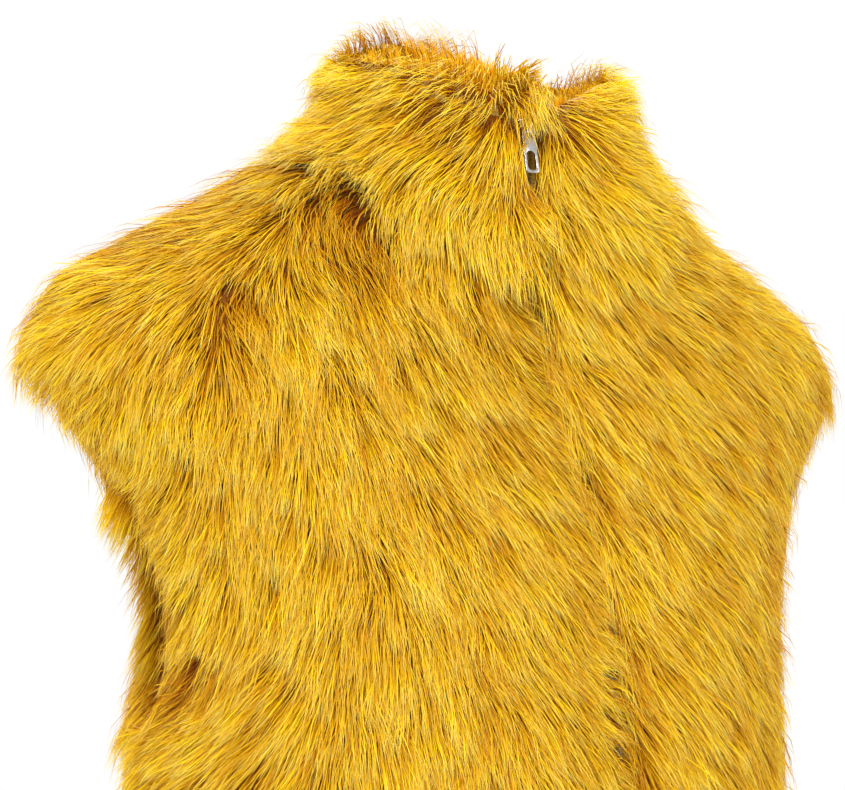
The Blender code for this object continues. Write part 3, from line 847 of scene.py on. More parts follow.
    def parted(self, points: np.ndarray, normals: np.ndarray) -> np.ndarray:
        """Tell how far the pile is parted at each place, from 0 to 1."""
        across, down = self.view.project(points)
        found = np.zeros(len(points))
        for column, row, radius, strength in PARTINGS:
            gap = ((across - column) ** 2 + (down - row) ** 2) / radius**2
            found = np.maximum(found, strength * np.exp(-gap))
        return found * self.seen(points, normals)

    def light_and_tone_streaks(self, points: np.ndarray, normals: np.ndarray) -> np.ndarray:
        """Give the change of tone at each place from the streaks, mostly painted light and shade."""
        across, down = self.view.project(points)
        here = np.stack((across, down), axis=1)
        found = np.zeros(len(points))
        for column, row, column_end, row_end, width, change in PAINTED_LIGHT_AND_TONE_STREAKS:
            start = np.array((column, row), dtype=float)
            way = np.array((column_end, row_end), dtype=float) - start
            along = np.clip((here - start) @ way / (way @ way), 0.0, 1.0)
            gap = np.linalg.norm(here - start - along[:, None] * way, axis=1)
            found += change * np.exp(-((gap / width) ** 2))
        return found * self.seen(points, normals)


@dataclass
class CoatSurface:
    """Pile face of some panels: triangles with smooth normals, over which strands are laid."""

    places: np.ndarray
    normals: np.ndarray
    faces: np.ndarray
    owner: np.ndarray
    tree: BVHTree

    @classmethod
    def from_faces(cls, parts: list[list[bmesh.types.BMFace]]) -> CoatSurface:
        """Join the pile faces of several panels.

        Args:
            parts: The pile faces of each panel.

        Returns:
            The joined surface. A face's owner is its panel's place in the list.
        """
        places, normals, faces, owner = [], [], [], []
        for number, chosen in enumerate(parts):
            index: dict[bmesh.types.BMVert, int] = {}
            for face in chosen:
                for vert in face.verts:
                    if vert not in index:
                        index[vert] = len(places)
                        places.append(vert.co[:])
                        normals.append(np.zeros(3))
                for vert in face.verts:
                    normals[index[vert]] = normals[index[vert]] + np.array(face.normal) * face.calc_area()
                faces.append([index[vert] for vert in face.verts])
                owner.append(number)
        tree = BVHTree.FromPolygons(places, faces)
        return cls(np.array(places), unit(np.array(normals)), np.array(faces), np.array(owner), tree)

    @property
    def areas(self) -> np.ndarray:
        """Area of each face."""
        one, two, three = self.places[self.faces].transpose(1, 0, 2)
        return np.linalg.norm(np.cross(two - one, three - one), axis=1) / 2

    def smooth_normal(self, index: np.ndarray, points: np.ndarray) -> np.ndarray:
        """Blend a face's corner normals at points on it.

        Args:
            index: Face of each point.
            points: Points on the faces.

        Returns:
            Normals of length one.
        """
        one, two, three = self.places[self.faces[index]].transpose(1, 0, 2)
        whole = np.cross(two - one, three - one)
        size = np.maximum(np.sum(whole * whole, axis=1, keepdims=True), 1e-20)
        first = np.sum(np.cross(three - two, points - two) * whole, axis=1, keepdims=True) / size
        second = np.sum(np.cross(one - three, points - three) * whole, axis=1, keepdims=True) / size
        first, second = np.clip(first, 0, 1), np.clip(second, 0, 1)
        third = np.clip(1.0 - first - second, 0, 1)
        corners = [self.normals[self.faces[index, corner]] for corner in range(3)]
        return unit(corners[0] * first + corners[1] * second + corners[2] * third)

    def settle(self, points: np.ndarray) -> tuple[np.ndarray, np.ndarray, np.ndarray]:
        """Drop points onto the surface along its normal; points past an edge stay past it.

        Args:
            points: Rows of X, Y and Z.

        Returns:
            The settled points, the normals there and the faces' indices.
        """
        nearest = [self.tree.find_nearest(point) for point in points.tolist()]
        foot = np.array([found[0][:] for found in nearest])
        index = np.array([found[2] for found in nearest])
        normal = self.smooth_normal(index, foot)
        lift = np.sum((points - foot) * normal, axis=1, keepdims=True)
        return points - lift * normal, normal, index

    def scatter(self, rng: np.random.Generator, weight: np.ndarray,
                count: int) -> tuple[np.ndarray, np.ndarray, np.ndarray]:
        """Drop points over the surface.

        Args:
            rng: Source of random numbers.
            weight: How much each face should get for its area.
            count: Number of points.

        Returns:
            Points, normals and face indices.
        """
        share = self.areas * weight
        index = rng.choice(len(self.faces), size=count, p=share / share.sum())
        first, second = rng.random((2, count, 1))
        over = first + second > 1.0
        first, second = np.where(over, 1 - first, first), np.where(over, 1 - second, second)
        one, two, three = self.places[self.faces[index]].transpose(1, 0, 2)
        points = one + (two - one) * first + (three - one) * second
        return points, self.smooth_normal(index, points), index


@dataclass(frozen=True)
class Pile:
    """Sizes of one coat of strands, in metres.

    Attributes:
        count: Number of strands.
        length: Length of a strand.
        root_depth: How far the roots lie under the reach of the pile.
        tip_height: How far the tips stand above it, lowest and highest.
        width: Width of a strand at its widest, on the photographed side and elsewhere.
        lock_pitch: Distance between the locks that strands gather in.
        gather: How strongly a lock gathers its strands at the tips.
        wave: Sideways wave of a strand.
        seed: Start of its random draws.
        near_share: How much denser it is on the photographed side than elsewhere.
    """

    count: int
    length: float
    root_depth: float
    tip_height: Pair
    width: Pair
    lock_pitch: float
    gather: float
    wave: float
    seed: int
    near_share: float


@dataclass
class Roots:
    """Places where strands start, and what holds there.

    Attributes:
        points: The places.
        normals: Normals of the surface.
        index: Its faces.
        seen: How far each place belongs to the photographed side, from 0 to 1.
        parted: How far the pile is parted.
        collar: True on the collar.
        rolled: How far the collar's edge rolls over.
        fringe: How far the pile hangs over the armhole.
    """

    points: np.ndarray
    normals: np.ndarray
    index: np.ndarray
    seen: np.ndarray
    parted: np.ndarray
    collar: np.ndarray
    rolled: np.ndarray
    fringe: np.ndarray

    @property
    def count(self) -> int:
        """Number of places."""
        return len(self.points)


@dataclass
class Locks:
    """Locks that strands gather in.

    Attributes:
        leaders: Number of the strand that leads each lock.
        lock: Number of the lock that each strand joins.
    """

    leaders: np.ndarray
    lock: np.ndarray

    @property
    def count(self) -> int:
        """Number of locks."""
        return len(self.leaders)


@dataclass
class Coat:
    """Strands laid over a pile face and joined into a few meshes.

    Pairs named as a spread hold the lowest and the highest value drawn. Pairs named as a band hold where a
    rise starts and ends.
    """

    surface: CoatSurface
    comb: Comb
    pile: Pile
    side: Side
    collar_owners: tuple[int, ...]
    seed: int
    clear_line: tuple[Vector, Vector]
    segments: int = 3
    cling: float = 0.13
    collar_cling: float = 0.75
    loose_rise: float = 0.12
    loose_carry: float = 0.75
    loose_fall: float = 0.12

    length_spread: Pair = (0.72, 1.12)
    length_drift: Pair = (0.10, 0.03)
    drifts: tuple[Pair, ...] = ((0.08, 0.055), (0.12, 0.018))
    veer: float = 0.11
    shortest: float = 0.004
    lowest: float = -0.6375
    parted_thinning: float = 0.50
    parted_shortening: float = 0.45
    parted_sink: float = 0.005
    parted_rim: float = 0.35
    parted_luck: float = 1.05

    edge_reach: float = 0.012
    edge_growth: float = -0.30
    edge_side: float = 0.13
    edge_heights: Pair = (-0.27, -0.10)
    fringe_height_band: Pair = (-0.125, -0.16)
    fringe_side_band: Pair = (0.0, -0.05)
    fringe_lean: float = 27.0
    fringe_calm: float = 0.8

    rim_fringe: float = 0.011
    rim_corner: float = 0.45
    rim_least: float = 0.0035
    rim_side_band: Pair = (1.4, 2.3)
    rim_corner_band: Pair = (2.6, 3.1)
    rim_lift: float = 0.005
    rolled_shortening: float = 0.40
    rolled_up_band: Pair = (0.3, 0.7)
    rolled_in_band: Pair = (-0.1, 0.3)
    collar_fluff: float = 0.007
    # Painted light: tone added to collar strands, doubled at the rolled rim, for the light on the collar's
    # top
    collar_painted_light: float = 0.20
    collar_drop: float = 1.6
    collar_foot_band: Pair = (0.034, 0.006)
    seen_drop: float = 0.6
    crown_px: Pair = (468.0, 58.0)
    crown_lift: float = 0.011
    crown_spread: Pair = (0.5, 1.0)
    sectors: int = 40

    tab_cover: float = 0.006
    tab_checks: int = 22
    tab_room: float = 0.0035
    tab_clear: float = 0.0045
    tab_clear_px: float = 8.0
    tab_bare: Pair = (0.60, 1.02)
    tab_middle: Pair = (0.0, 0.014)
    tab_reach: float = 0.017
    tab_depth: float = 0.03
    tab_sink_band: Pair = (0.045, 0.025)
    zip_extra: float = 6.0
    zip_lift: float = 0.003
    zip_shallow: float = 0.7

    shoulder_sink: float = 0.005
    shoulder_up_band: Pair = (0.3, 0.8)
    shoulder_side_band: Pair = (0.09, 0.14)
    corner_sink: float = 0.008
    corner_side_band: Pair = (0.03, 0.065)
    corner_height_band: Pair = (0.02, 0.07)
    side_sink: float = 0.004
    side_band: Pair = (0.12, 0.16)
    side_height_band: Pair = (-0.08, -0.12)

    pull_spread: Pair = (0.40, 1.15)
    lock_pull_spread: Pair = (0.5, 1.0)
    most_pull: float = 0.95
    lock_narrowing: float = 0.70
    lock_lift: float = 0.55
    stray_share: float = 0.06
    stray_lift: Pair = (0.002, 0.008)
    depth_spread: Pair = (0.8, 1.15)
    wave_turns: Pair = (2.0, 4.5)
    wave_spread: Pair = (0.4, 1.3)
    blade_roll: float = 0.55
    width_spread: Pair = (0.65, 1.25)

    tone_start: float = 0.50
    tone_lock: float = 0.60
    tone_strand: float = 0.26
    tone_drift: Pair = (0.08, 0.045)
    # Painted shade: strands at a parting get a deeper tone for the shade in the gap
    parted_painted_shade: float = 0.60
    tone_range: Pair = (0.02, 0.98)
    middle_tone: float = 0.55
    far_calm: float = 0.35

    def noise(self, number: int, size: float, pitch: float, points: np.ndarray) -> np.ndarray:
        """Read one of the coat's soft random fields, of a given size and pitch."""
        return SmoothNoise(self.seed + number, pitch).at(points) * size

    def collar_mask(self, index: np.ndarray) -> np.ndarray:
        """Tell which faces belong to the collar."""
        return np.isin(self.surface.owner[index], self.collar_owners)

    def build(self) -> tuple[np.ndarray, np.ndarray, np.ndarray, np.ndarray]:
        """Lay the strands.

        Returns:
            Lines of points, half-width vectors, tones, and the owner of each strand.
        """
        rng = np.random.default_rng(self.seed)
        roots = self.roots(rng)
        line, stand = self.lay(rng, roots)
        locks = self.gather_locks(rng, roots.points)
        line = self.pulled(rng, roots, locks, line)
        line = line + stand * self.heights(rng, roots, locks)[:, :, None]
        line, blade = self.waved(rng, line, stand)
        width = self.pile.width[1] + (self.pile.width[0] - self.pile.width[1]) * roots.seen
        width *= rng.uniform(*self.width_spread, roots.count)
        tone = self.tones(rng, roots, locks)
        found = line, blade * width[:, None] / 2, tone, self.surface.owner[roots.index]
        if self.side is Side.IN:
            return found
        free = self.clear_of_tab(line) & (line[:, :, 2].min(axis=1) > self.lowest)
        return tuple(item[free] for item in found)

    def roots(self, rng: np.random.Generator) -> Roots:
        """Drop the roots over the surface, fewer of them where the pile parts.

        Args:
            rng: Source of random numbers.

        Returns:
            The roots.
        """
        comb, surface = self.comb, self.surface
        centres = surface.places[surface.faces].mean(axis=1)
        flats = unit(surface.normals[surface.faces].mean(axis=1))
        weight = 1.0 + (self.pile.near_share - 1.0) * comb.seen(centres, flats)
        weight += self.zip_extra * comb.beside_zip(centres)
        points, normals, index = surface.scatter(rng, weight, self.pile.count)
        seen, parted = comb.seen(points, normals), comb.parted(points, normals)
        keep = rng.random(len(points)) > self.parted_thinning * parted
        points, normals, index, seen, parted = (item[keep] for item in (points, normals, index, seen, parted))
        collar = self.collar_mask(index)
        inward = -np.sum(unit(points * LEVEL) * normals, axis=1)
        rolled = np.maximum(ease(normals[:, 2], *self.rolled_up_band), ease(inward, *self.rolled_in_band))
        fringe = self.near_armhole(points) * seen
        return Roots(points, normals, index, seen, parted, collar, rolled * collar, fringe)

    def lengths(self, rng: np.random.Generator, roots: Roots) -> np.ndarray:
        """Draw the length of each strand: shorter at partings, over the armhole and at the collar's rim.

        Args:
            rng: Source of random numbers.
            roots: The roots.

        Returns:
            Lengths in metres.
        """
        length = self.pile.length * rng.uniform(*self.length_spread, roots.count)
        length = length * (1.0 - self.parted_shortening * roots.parted)
        length *= 1.0 + self.edge_growth * roots.fringe
        length *= 1.0 + self.noise(3, *self.length_drift, roots.points)
        if self.side is Side.IN:
            return np.maximum(np.minimum(length, self.below_rim(roots.points)), self.shortest)
        return length * (1.0 - self.rolled_shortening * roots.rolled)

    def lay(self, rng: np.random.Generator, roots: Roots) -> tuple[np.ndarray, np.ndarray]:
        """Lay each strand along the surface from its root.

        Args:
            rng: Source of random numbers.
            roots: The roots.

        Returns:
            Points and standing directions, one row for each strand.
        """
        length = self.lengths(rng, roots)
        veer = sum(self.noise(number + 1, *drift, roots.points) for number, drift in enumerate(self.drifts))
        veer = veer + rng.normal(0.0, self.veer, roots.count)
        low = ease(self.above_foot(roots.points), *self.collar_foot_band)
        drop = roots.collar * low * (1.0 - self.seen_drop * roots.seen) * self.collar_drop
        line, stand = self.march(roots, length / self.segments, veer, drop)
        line, stand = self.stop_at_partings(line, stand, roots.parted, rng.random(roots.count))
        toward = unit(np.array(self.comb.view.place) - roots.points)[:, None, :]
        loose = roots.fringe[:, None, None]
        return line, unit(stand * (1.0 - loose) + toward * loose)

    def march(self, roots: Roots, steps: np.ndarray, veer: np.ndarray,
              drop: np.ndarray) -> tuple[np.ndarray, np.ndarray]:
        """Walk from the roots along the lie of the pile.

        A walk keeps to gentle curves and stands off sharp ones, such as a rolled edge.

        Args:
            roots: The roots.
            steps: Length of one step for each strand.
            veer: Angle in radians by which each walk turns off the lie.
            drop: How far each walk turns straight down, from 0 upwards.

        Returns:
            Places and normals of the walk, one row for each strand.
        """
        points, normals, index = roots.points, roots.normals, roots.index
        walk, stand = [points], [normals]
        before, loose = None, np.zeros((len(points), 1))
        free = roots.fringe[:, None]
        sweep = self.comb.sweep(self.fringe_lean)
        for _ in range(self.segments):
            way = self.comb.direction(points, normals, self.collar_mask(index), self.side)
            across = np.cross(normals, way)
            way = way * np.cos(veer)[:, None] + across * np.sin(veer)[:, None]
            if before is not None:
                kept = self.loose_carry * loose
                way = unit(way * (1.0 - kept) + before * kept - UP * self.loose_fall * loose)
            way = unit(way * (1.0 - free) + sweep * free - UP * drop[:, None])
            before = way
            ahead = points + way * steps[:, None]
            points, normals, index = self.surface.settle(ahead)
            lift = np.sum((ahead - points) * normals, axis=1, keepdims=True)
            cling = np.where(self.collar_mask(index), self.collar_cling, self.cling)[:, None]
            held = np.minimum(lift, cling * steps[:, None]) * (1.0 - free)
            points = ahead - normals * held
            loose = np.clip((lift - held) / (self.loose_rise * steps[:, None]), 0.0, 1.0)
            walk.append(points)
            stand.append(normals)
        return np.stack(walk, axis=1), np.stack(stand, axis=1)

    def stop_at_partings(self, line: np.ndarray, stand: np.ndarray, parted: np.ndarray,
                         luck: np.ndarray) -> tuple[np.ndarray, np.ndarray]:
        """Cut short the strands that would lie over a parting from outside it.

        Args:
            line: Points of each strand.
            stand: Normals at those points.
            parted: How far the pile is parted at each root.
            luck: A number from 0 to 1 for each strand.

        Returns:
            The lines and the normals, with as many points as before.
        """
        reach = np.ones(len(line))
        for step in range(self.segments, 0, -1):
            for back in (0.0, 0.5):
                place = line[:, step] * (1 - back) + line[:, step - 1] * back
                over = self.comb.parted(place, stand[:, step])
                met = (luck < self.parted_luck * over) & (parted < self.parted_rim)
                reach = np.where(met, np.minimum(reach, (step - back - 0.5 * luck) / self.segments), reach)
        steps = np.linspace(0.0, 1.0, self.segments + 1)[None, :] * reach[:, None] * self.segments
        low = np.minimum(steps.astype(int), self.segments - 1)
        part = (steps - low)[:, :, None]
        rows = np.arange(len(line))[:, None]
        line = line[rows, low] * (1 - part) + line[rows, low + 1] * part
        return line, unit(stand[rows, low] * (1 - part) + stand[rows, low + 1] * part)

    def gather_locks(self, rng: np.random.Generator, points: np.ndarray) -> Locks:
        """Choose the strands that lead a lock, and let each strand join the nearest.

        Args:
            rng: Source of random numbers.
            points: Root of each strand.

        Returns:
            The locks.
        """
        size = int(self.surface.areas.sum() / self.pile.lock_pitch**2) * 2
        leaders = rng.choice(len(points), size=size, replace=False)
        tree = search_tree(points[leaders])
        return Locks(leaders, np.array([tree.find(place)[1] for place in points.tolist()]))

    def pulled(self, rng: np.random.Generator, roots: Roots, locks: Locks, line: np.ndarray) -> np.ndarray:
        """Pull each strand's tip towards the leader of its lock.

        Args:
            rng: Source of random numbers.
            roots: The roots.
            locks: The locks.
            line: Points of each strand.

        Returns:
            The points after the pull.
        """
        pull = self.pile.gather * rng.uniform(*self.pull_spread, roots.count)
        pull = pull * rng.uniform(*self.lock_pull_spread, locks.count)[locks.lock]
        pull = np.where(rng.random(roots.count) < self.stray_share, 0.0, pull)
        pull = np.clip(pull, 0.0, self.most_pull) * (1.0 - self.fringe_calm * roots.fringe)
        pull *= 1.0 - self.far_calm * (1.0 - roots.seen)
        leader = line[locks.leaders[locks.lock]]
        share = np.linspace(0.0, 1.0, self.segments + 1)
        apart = 1.0 - self.lock_narrowing * share[None, :, None] ** 1.2
        target = leader + (line[:, :1] - leader[:, :1]) * apart
        return line + (target - line) * (pull[:, None] * share[None, :] ** 0.8)[:, :, None]

    def heights(self, rng: np.random.Generator, roots: Roots, locks: Locks) -> np.ndarray:
        """Draw how far each point of each strand stands above the reach of the pile.

        Args:
            rng: Source of random numbers.
            roots: The roots.
            locks: The locks.

        Returns:
            Heights in metres, from root to tip.
        """
        points, normals = roots.points, roots.normals
        low, high = self.pile.tip_height
        lock_lift = rng.uniform(0.0, 1.0, locks.count)[locks.lock]
        strand_lift = rng.random(roots.count)
        lift = self.lock_lift * lock_lift + (1.0 - self.lock_lift) * strand_lift
        tip = low + (high - low) * lift - self.parted_sink * roots.parted
        over_zip = self.comb.beside_zip(points) * (self.side is Side.OUT)
        if self.side is Side.OUT:
            tip = tip + self.collar_fluff * roots.collar * rng.random(roots.count)
            middle, half = self.crown_px
            crown = np.exp(-(((self.comb.view.project(points)[0] - middle) / half) ** 2))
            tip = tip + self.crown_lift * crown * roots.rolled * rng.uniform(*self.crown_spread, roots.count)
            hinge = np.array(self.clear_line[0])
            gap = np.linalg.norm((points - hinge)[:, [0, 2]] - np.array(self.tab_middle), axis=1)
            front = points[:, 1] < hinge[1] + self.tab_depth
            tip = tip + self.tab_cover * np.exp(-((gap / self.tab_reach) ** 2)) * front
            tip = tip - self.zip_lift * ease(gap, *self.tab_sink_band) * front
        stray = rng.random(roots.count) < self.stray_share
        tip = np.where(stray, tip + rng.uniform(*self.stray_lift, roots.count), tip)
        depth = self.pile.root_depth * rng.uniform(*self.depth_spread, roots.count)
        depth *= 1.0 - self.zip_shallow * over_zip
        tip = tip + self.zip_lift * over_zip + self.rim_lift * roots.rolled * (self.side is Side.OUT)
        for sink, (across, across_band), (up, up_band) in (
            (self.shoulder_sink, (np.abs(points[:, 0]), self.shoulder_side_band),
             (normals[:, 2], self.shoulder_up_band)),
            (self.corner_sink * roots.collar, (-points[:, 0], self.corner_side_band),
             (points[:, 2], self.corner_height_band)),
            (self.side_sink, (points[:, 0], self.side_band), (points[:, 2], self.side_height_band)),
        ):
            tip = tip - sink * ease(across, *across_band) * ease(up, *up_band)
        rise = 1.0 - (1.0 - np.linspace(0.0, 1.0, self.segments + 1)[None, :]) ** 2.0
        return -depth[:, None] + (depth + tip)[:, None] * rise

    def waved(self, rng: np.random.Generator, line: np.ndarray,
              stand: np.ndarray) -> tuple[np.ndarray, np.ndarray]:
        """Bend each strand sideways, and roll its blade.

        Args:
            rng: Source of random numbers.
            line: Points of each strand.
            stand: Standing directions at those points.

        Returns:
            The points, and the direction across each blade.
        """
        count = len(line)
        up = stand.mean(axis=1)
        across = unit(np.cross(up, unit(line[:, -1] - line[:, 0])))
        phase = rng.uniform(0, 2 * math.pi, count)[:, None]
        share = np.linspace(0.0, 1.0, self.segments + 1)[None, :]
        bend = np.sin(phase + share * rng.uniform(*self.wave_turns, count)[:, None]) - np.sin(phase)
        bend = bend * self.pile.wave * rng.uniform(*self.wave_spread, count)[:, None]
        line = line + across[:, None, :] * bend[:, :, None]
        roll = rng.normal(0.0, self.blade_roll, count)[:, None]
        return line, across * np.cos(roll) + up * np.sin(roll)

    def tones(self, rng: np.random.Generator, roots: Roots, locks: Locks) -> np.ndarray:
        """Draw the tone of each strand.

        Args:
            rng: Source of random numbers.
            roots: The roots.
            locks: The locks.

        Returns:
            Tones from deep at 0 to light at 1.
        """
        tone = self.tone_start + self.tone_lock * (rng.random(locks.count)[locks.lock] - 0.5)
        tone = tone + self.tone_strand * rng.normal(0.0, 1.0, roots.count)
        tone += self.noise(4, *self.tone_drift, roots.points)
        # Painted light and shade: the streaks, mostly painted light and shade with some tone that differs,
        # and a deeper tone at partings for the shade in the gap
        tone += self.comb.light_and_tone_streaks(roots.points, roots.normals) - self.parted_painted_shade * roots.parted
        # Painted light: the collar's strands are lighter, most at the rolled rim, for the light on its top
        tone += self.collar_painted_light * roots.collar * (1.0 + roots.rolled)
        calm = 1.0 - self.far_calm * (1.0 - roots.seen)
        return np.clip(self.middle_tone + (tone - self.middle_tone) * calm, *self.tone_range)

    def sector(self, points: np.ndarray) -> np.ndarray:
        """Number the part of the turn about the neck that each place lies in."""
        turn = np.arctan2(points[:, 0], -points[:, 1])
        return ((turn / math.pi + 1.0) * self.sectors / 2).astype(int) % self.sectors

    def below_rim(self, points: np.ndarray) -> np.ndarray:
        """Tell how far each place lies below the rim, with the short fringe that stands above it.

        Args:
            points: Places on the collar.

        Returns:
            Distances in metres.
        """
        top = np.full(self.sectors, -1.0)
        np.maximum.at(top, self.sector(self.surface.places), self.surface.places[:, 2])
        turn = np.arctan2(points[:, 0], -points[:, 1])
        corner = self.rim_corner * ease(-turn, *self.rim_corner_band)
        fringe = self.rim_fringe * np.maximum(ease(turn, *self.rim_side_band), corner)
        return top[self.sector(points)] - points[:, 2] + np.maximum(fringe, self.rim_least)

    def above_foot(self, points: np.ndarray) -> np.ndarray:
        """Tell how far each place lies above the collar's foot."""
        places = self.surface.places
        corners = self.surface.faces[self.collar_mask(np.arange(len(self.surface.faces)))].ravel()
        foot = np.full(self.sectors, 1.0)
        np.minimum.at(foot, self.sector(places[corners]), places[corners, 2])
        return points[:, 2] - foot[self.sector(points)]

    def near_armhole(self, points: np.ndarray) -> np.ndarray:
        """Tell how near each place is to an armhole's edge.

        Args:
            points: Places on the surface.

        Returns:
            Shares from 0 to 1.
        """
        edges = np.sort(self.surface.faces[:, [0, 1, 1, 2, 2, 0]].reshape(-1, 2), axis=1)
        pairs, uses = np.unique(edges, axis=0, return_counts=True)
        rim = self.surface.places[np.unique(pairs[uses == 1])]
        lowest, highest = self.edge_heights
        rim = rim[(np.abs(rim[:, 0]) > self.edge_side) & (rim[:, 2] > lowest) & (rim[:, 2] < highest)]
        if not len(rim):
            return np.zeros(len(points))
        tree = search_tree(rim)
        gap = np.array([tree.find(place)[2] for place in points.tolist()])
        near = 1.0 - ease(gap, self.edge_reach * 0.5, self.edge_reach * 1.5)
        beside = ease(points[:, 0], *self.fringe_side_band)
        return near * beside * ease(points[:, 2], *self.fringe_height_band)

    def clear_of_tab(self, line: np.ndarray) -> np.ndarray:
        """Tell which strands leave the pull tab free to see and to move.

        Args:
            line: Points of each strand.

        Returns:
            True for each strand that stays.
        """
        start, end = (np.array(point) for point in self.clear_line)
        view = self.comb.view
        eye = np.array(view.place)
        ends = np.stack(view.project(np.stack((start, end))), axis=1)
        free = np.ones(len(line), dtype=bool)
        for share in np.linspace(0.0, 1.0, self.tab_checks):
            step = share * (line.shape[1] - 1)
            low = min(int(step), line.shape[1] - 2)
            point = line[:, low] + (line[:, low + 1] - line[:, low]) * (step - low)
            nearer = np.linalg.norm(point - eye, axis=1) < np.linalg.norm(end - eye) + self.tab_room
            ahead = point[:, 1] < start[1] + self.tab_room
            for flat, (first, last), room, hidden in (
                (point[:, [0, 2]], (start[[0, 2]], end[[0, 2]]), self.tab_clear, ahead),
                (np.stack(view.project(point), axis=1), ends, self.tab_clear_px, nearer),
            ):
                run = last - first
                along = (flat - first) @ run / (run @ run)
                nearest = first + np.clip(along, *self.tab_bare)[:, None] * run
                free &= ~((np.linalg.norm(flat - nearest, axis=1) < room) & hidden)
        return free


# Width of a blade at its points from root to tip, as a share of its widest
TAPER = (0.75, 1.0, 0.72, 0.0)

# Half the width of a strand's strip across its map
STRIP_HALF = 0.004


def strand_mesh(name: str, line: np.ndarray, blade: np.ndarray, tone: np.ndarray) -> bpy.types.Mesh:
    """Join strands into one mesh: flat blades that end in a point.

    Args:
        name: Name of the mesh.
        line: Points of each strand.
        blade: Half the blade's width as a vector, for each strand.
        tone: Tone of each strand, from 0 to 1.

    Returns:
        The mesh, with its tone and its length on two maps.
    """
    count, points = line.shape[:2]
    segments = points - 1
    aside = blade[:, None, :] * np.array(TAPER)[None, :, None]
    pairs = np.stack(((line - aside)[:, :segments], (line + aside)[:, :segments]), axis=2)
    verts = np.concatenate((pairs.reshape(count, -1, 3), line[:, -1:]), axis=1)
    each = 2 * segments + 1
    corners = []
    for low in range(0, each - 3, 2):
        corners += [low, low + 1, low + 3, low + 2]
    corners = np.array(corners + [each - 3, each - 2, each - 1])
    loops = (corners[None, :] + each * np.arange(count)[:, None]).ravel()
    sizes = [4] * (segments - 1) + [3]
    starts = np.concatenate(([0], np.cumsum(sizes)[:-1]))
    mesh = bpy.data.meshes.new(name)
    mesh.vertices.add(count * each)
    mesh.vertices.foreach_set("co", verts.astype(np.float32).ravel())
    mesh.loops.add(len(loops))
    mesh.loops.foreach_set("vertex_index", loops.astype(np.int32))
    mesh.polygons.add(count * len(sizes))
    first = (starts[None, :] + len(corners) * np.arange(count)[:, None]).ravel()
    mesh.polygons.foreach_set("loop_start", first.astype(np.int32))
    mesh.update(calc_edges=True)
    mesh.validate()
    along = np.concatenate((np.repeat(np.arange(segments) / segments, 2), [1.0]))
    strip = np.concatenate((np.tile((-STRIP_HALF, STRIP_HALF), segments), [0.0]))
    upwards = np.broadcast_to(along * 0.98 + 0.01, (count, each))
    chart = np.stack((tone[:, None] + strip[None, :], upwards), axis=2).reshape(-1, 2)[loops]
    for label in (BAKE_MAP, STRAND_MAP):
        mesh.uv_layers.new(name=label).data.foreach_set("uv", chart.astype(np.float32).ravel())
    mesh.polygons.foreach_set("use_smooth", np.ones(len(mesh.polygons), dtype=bool))
    return mesh


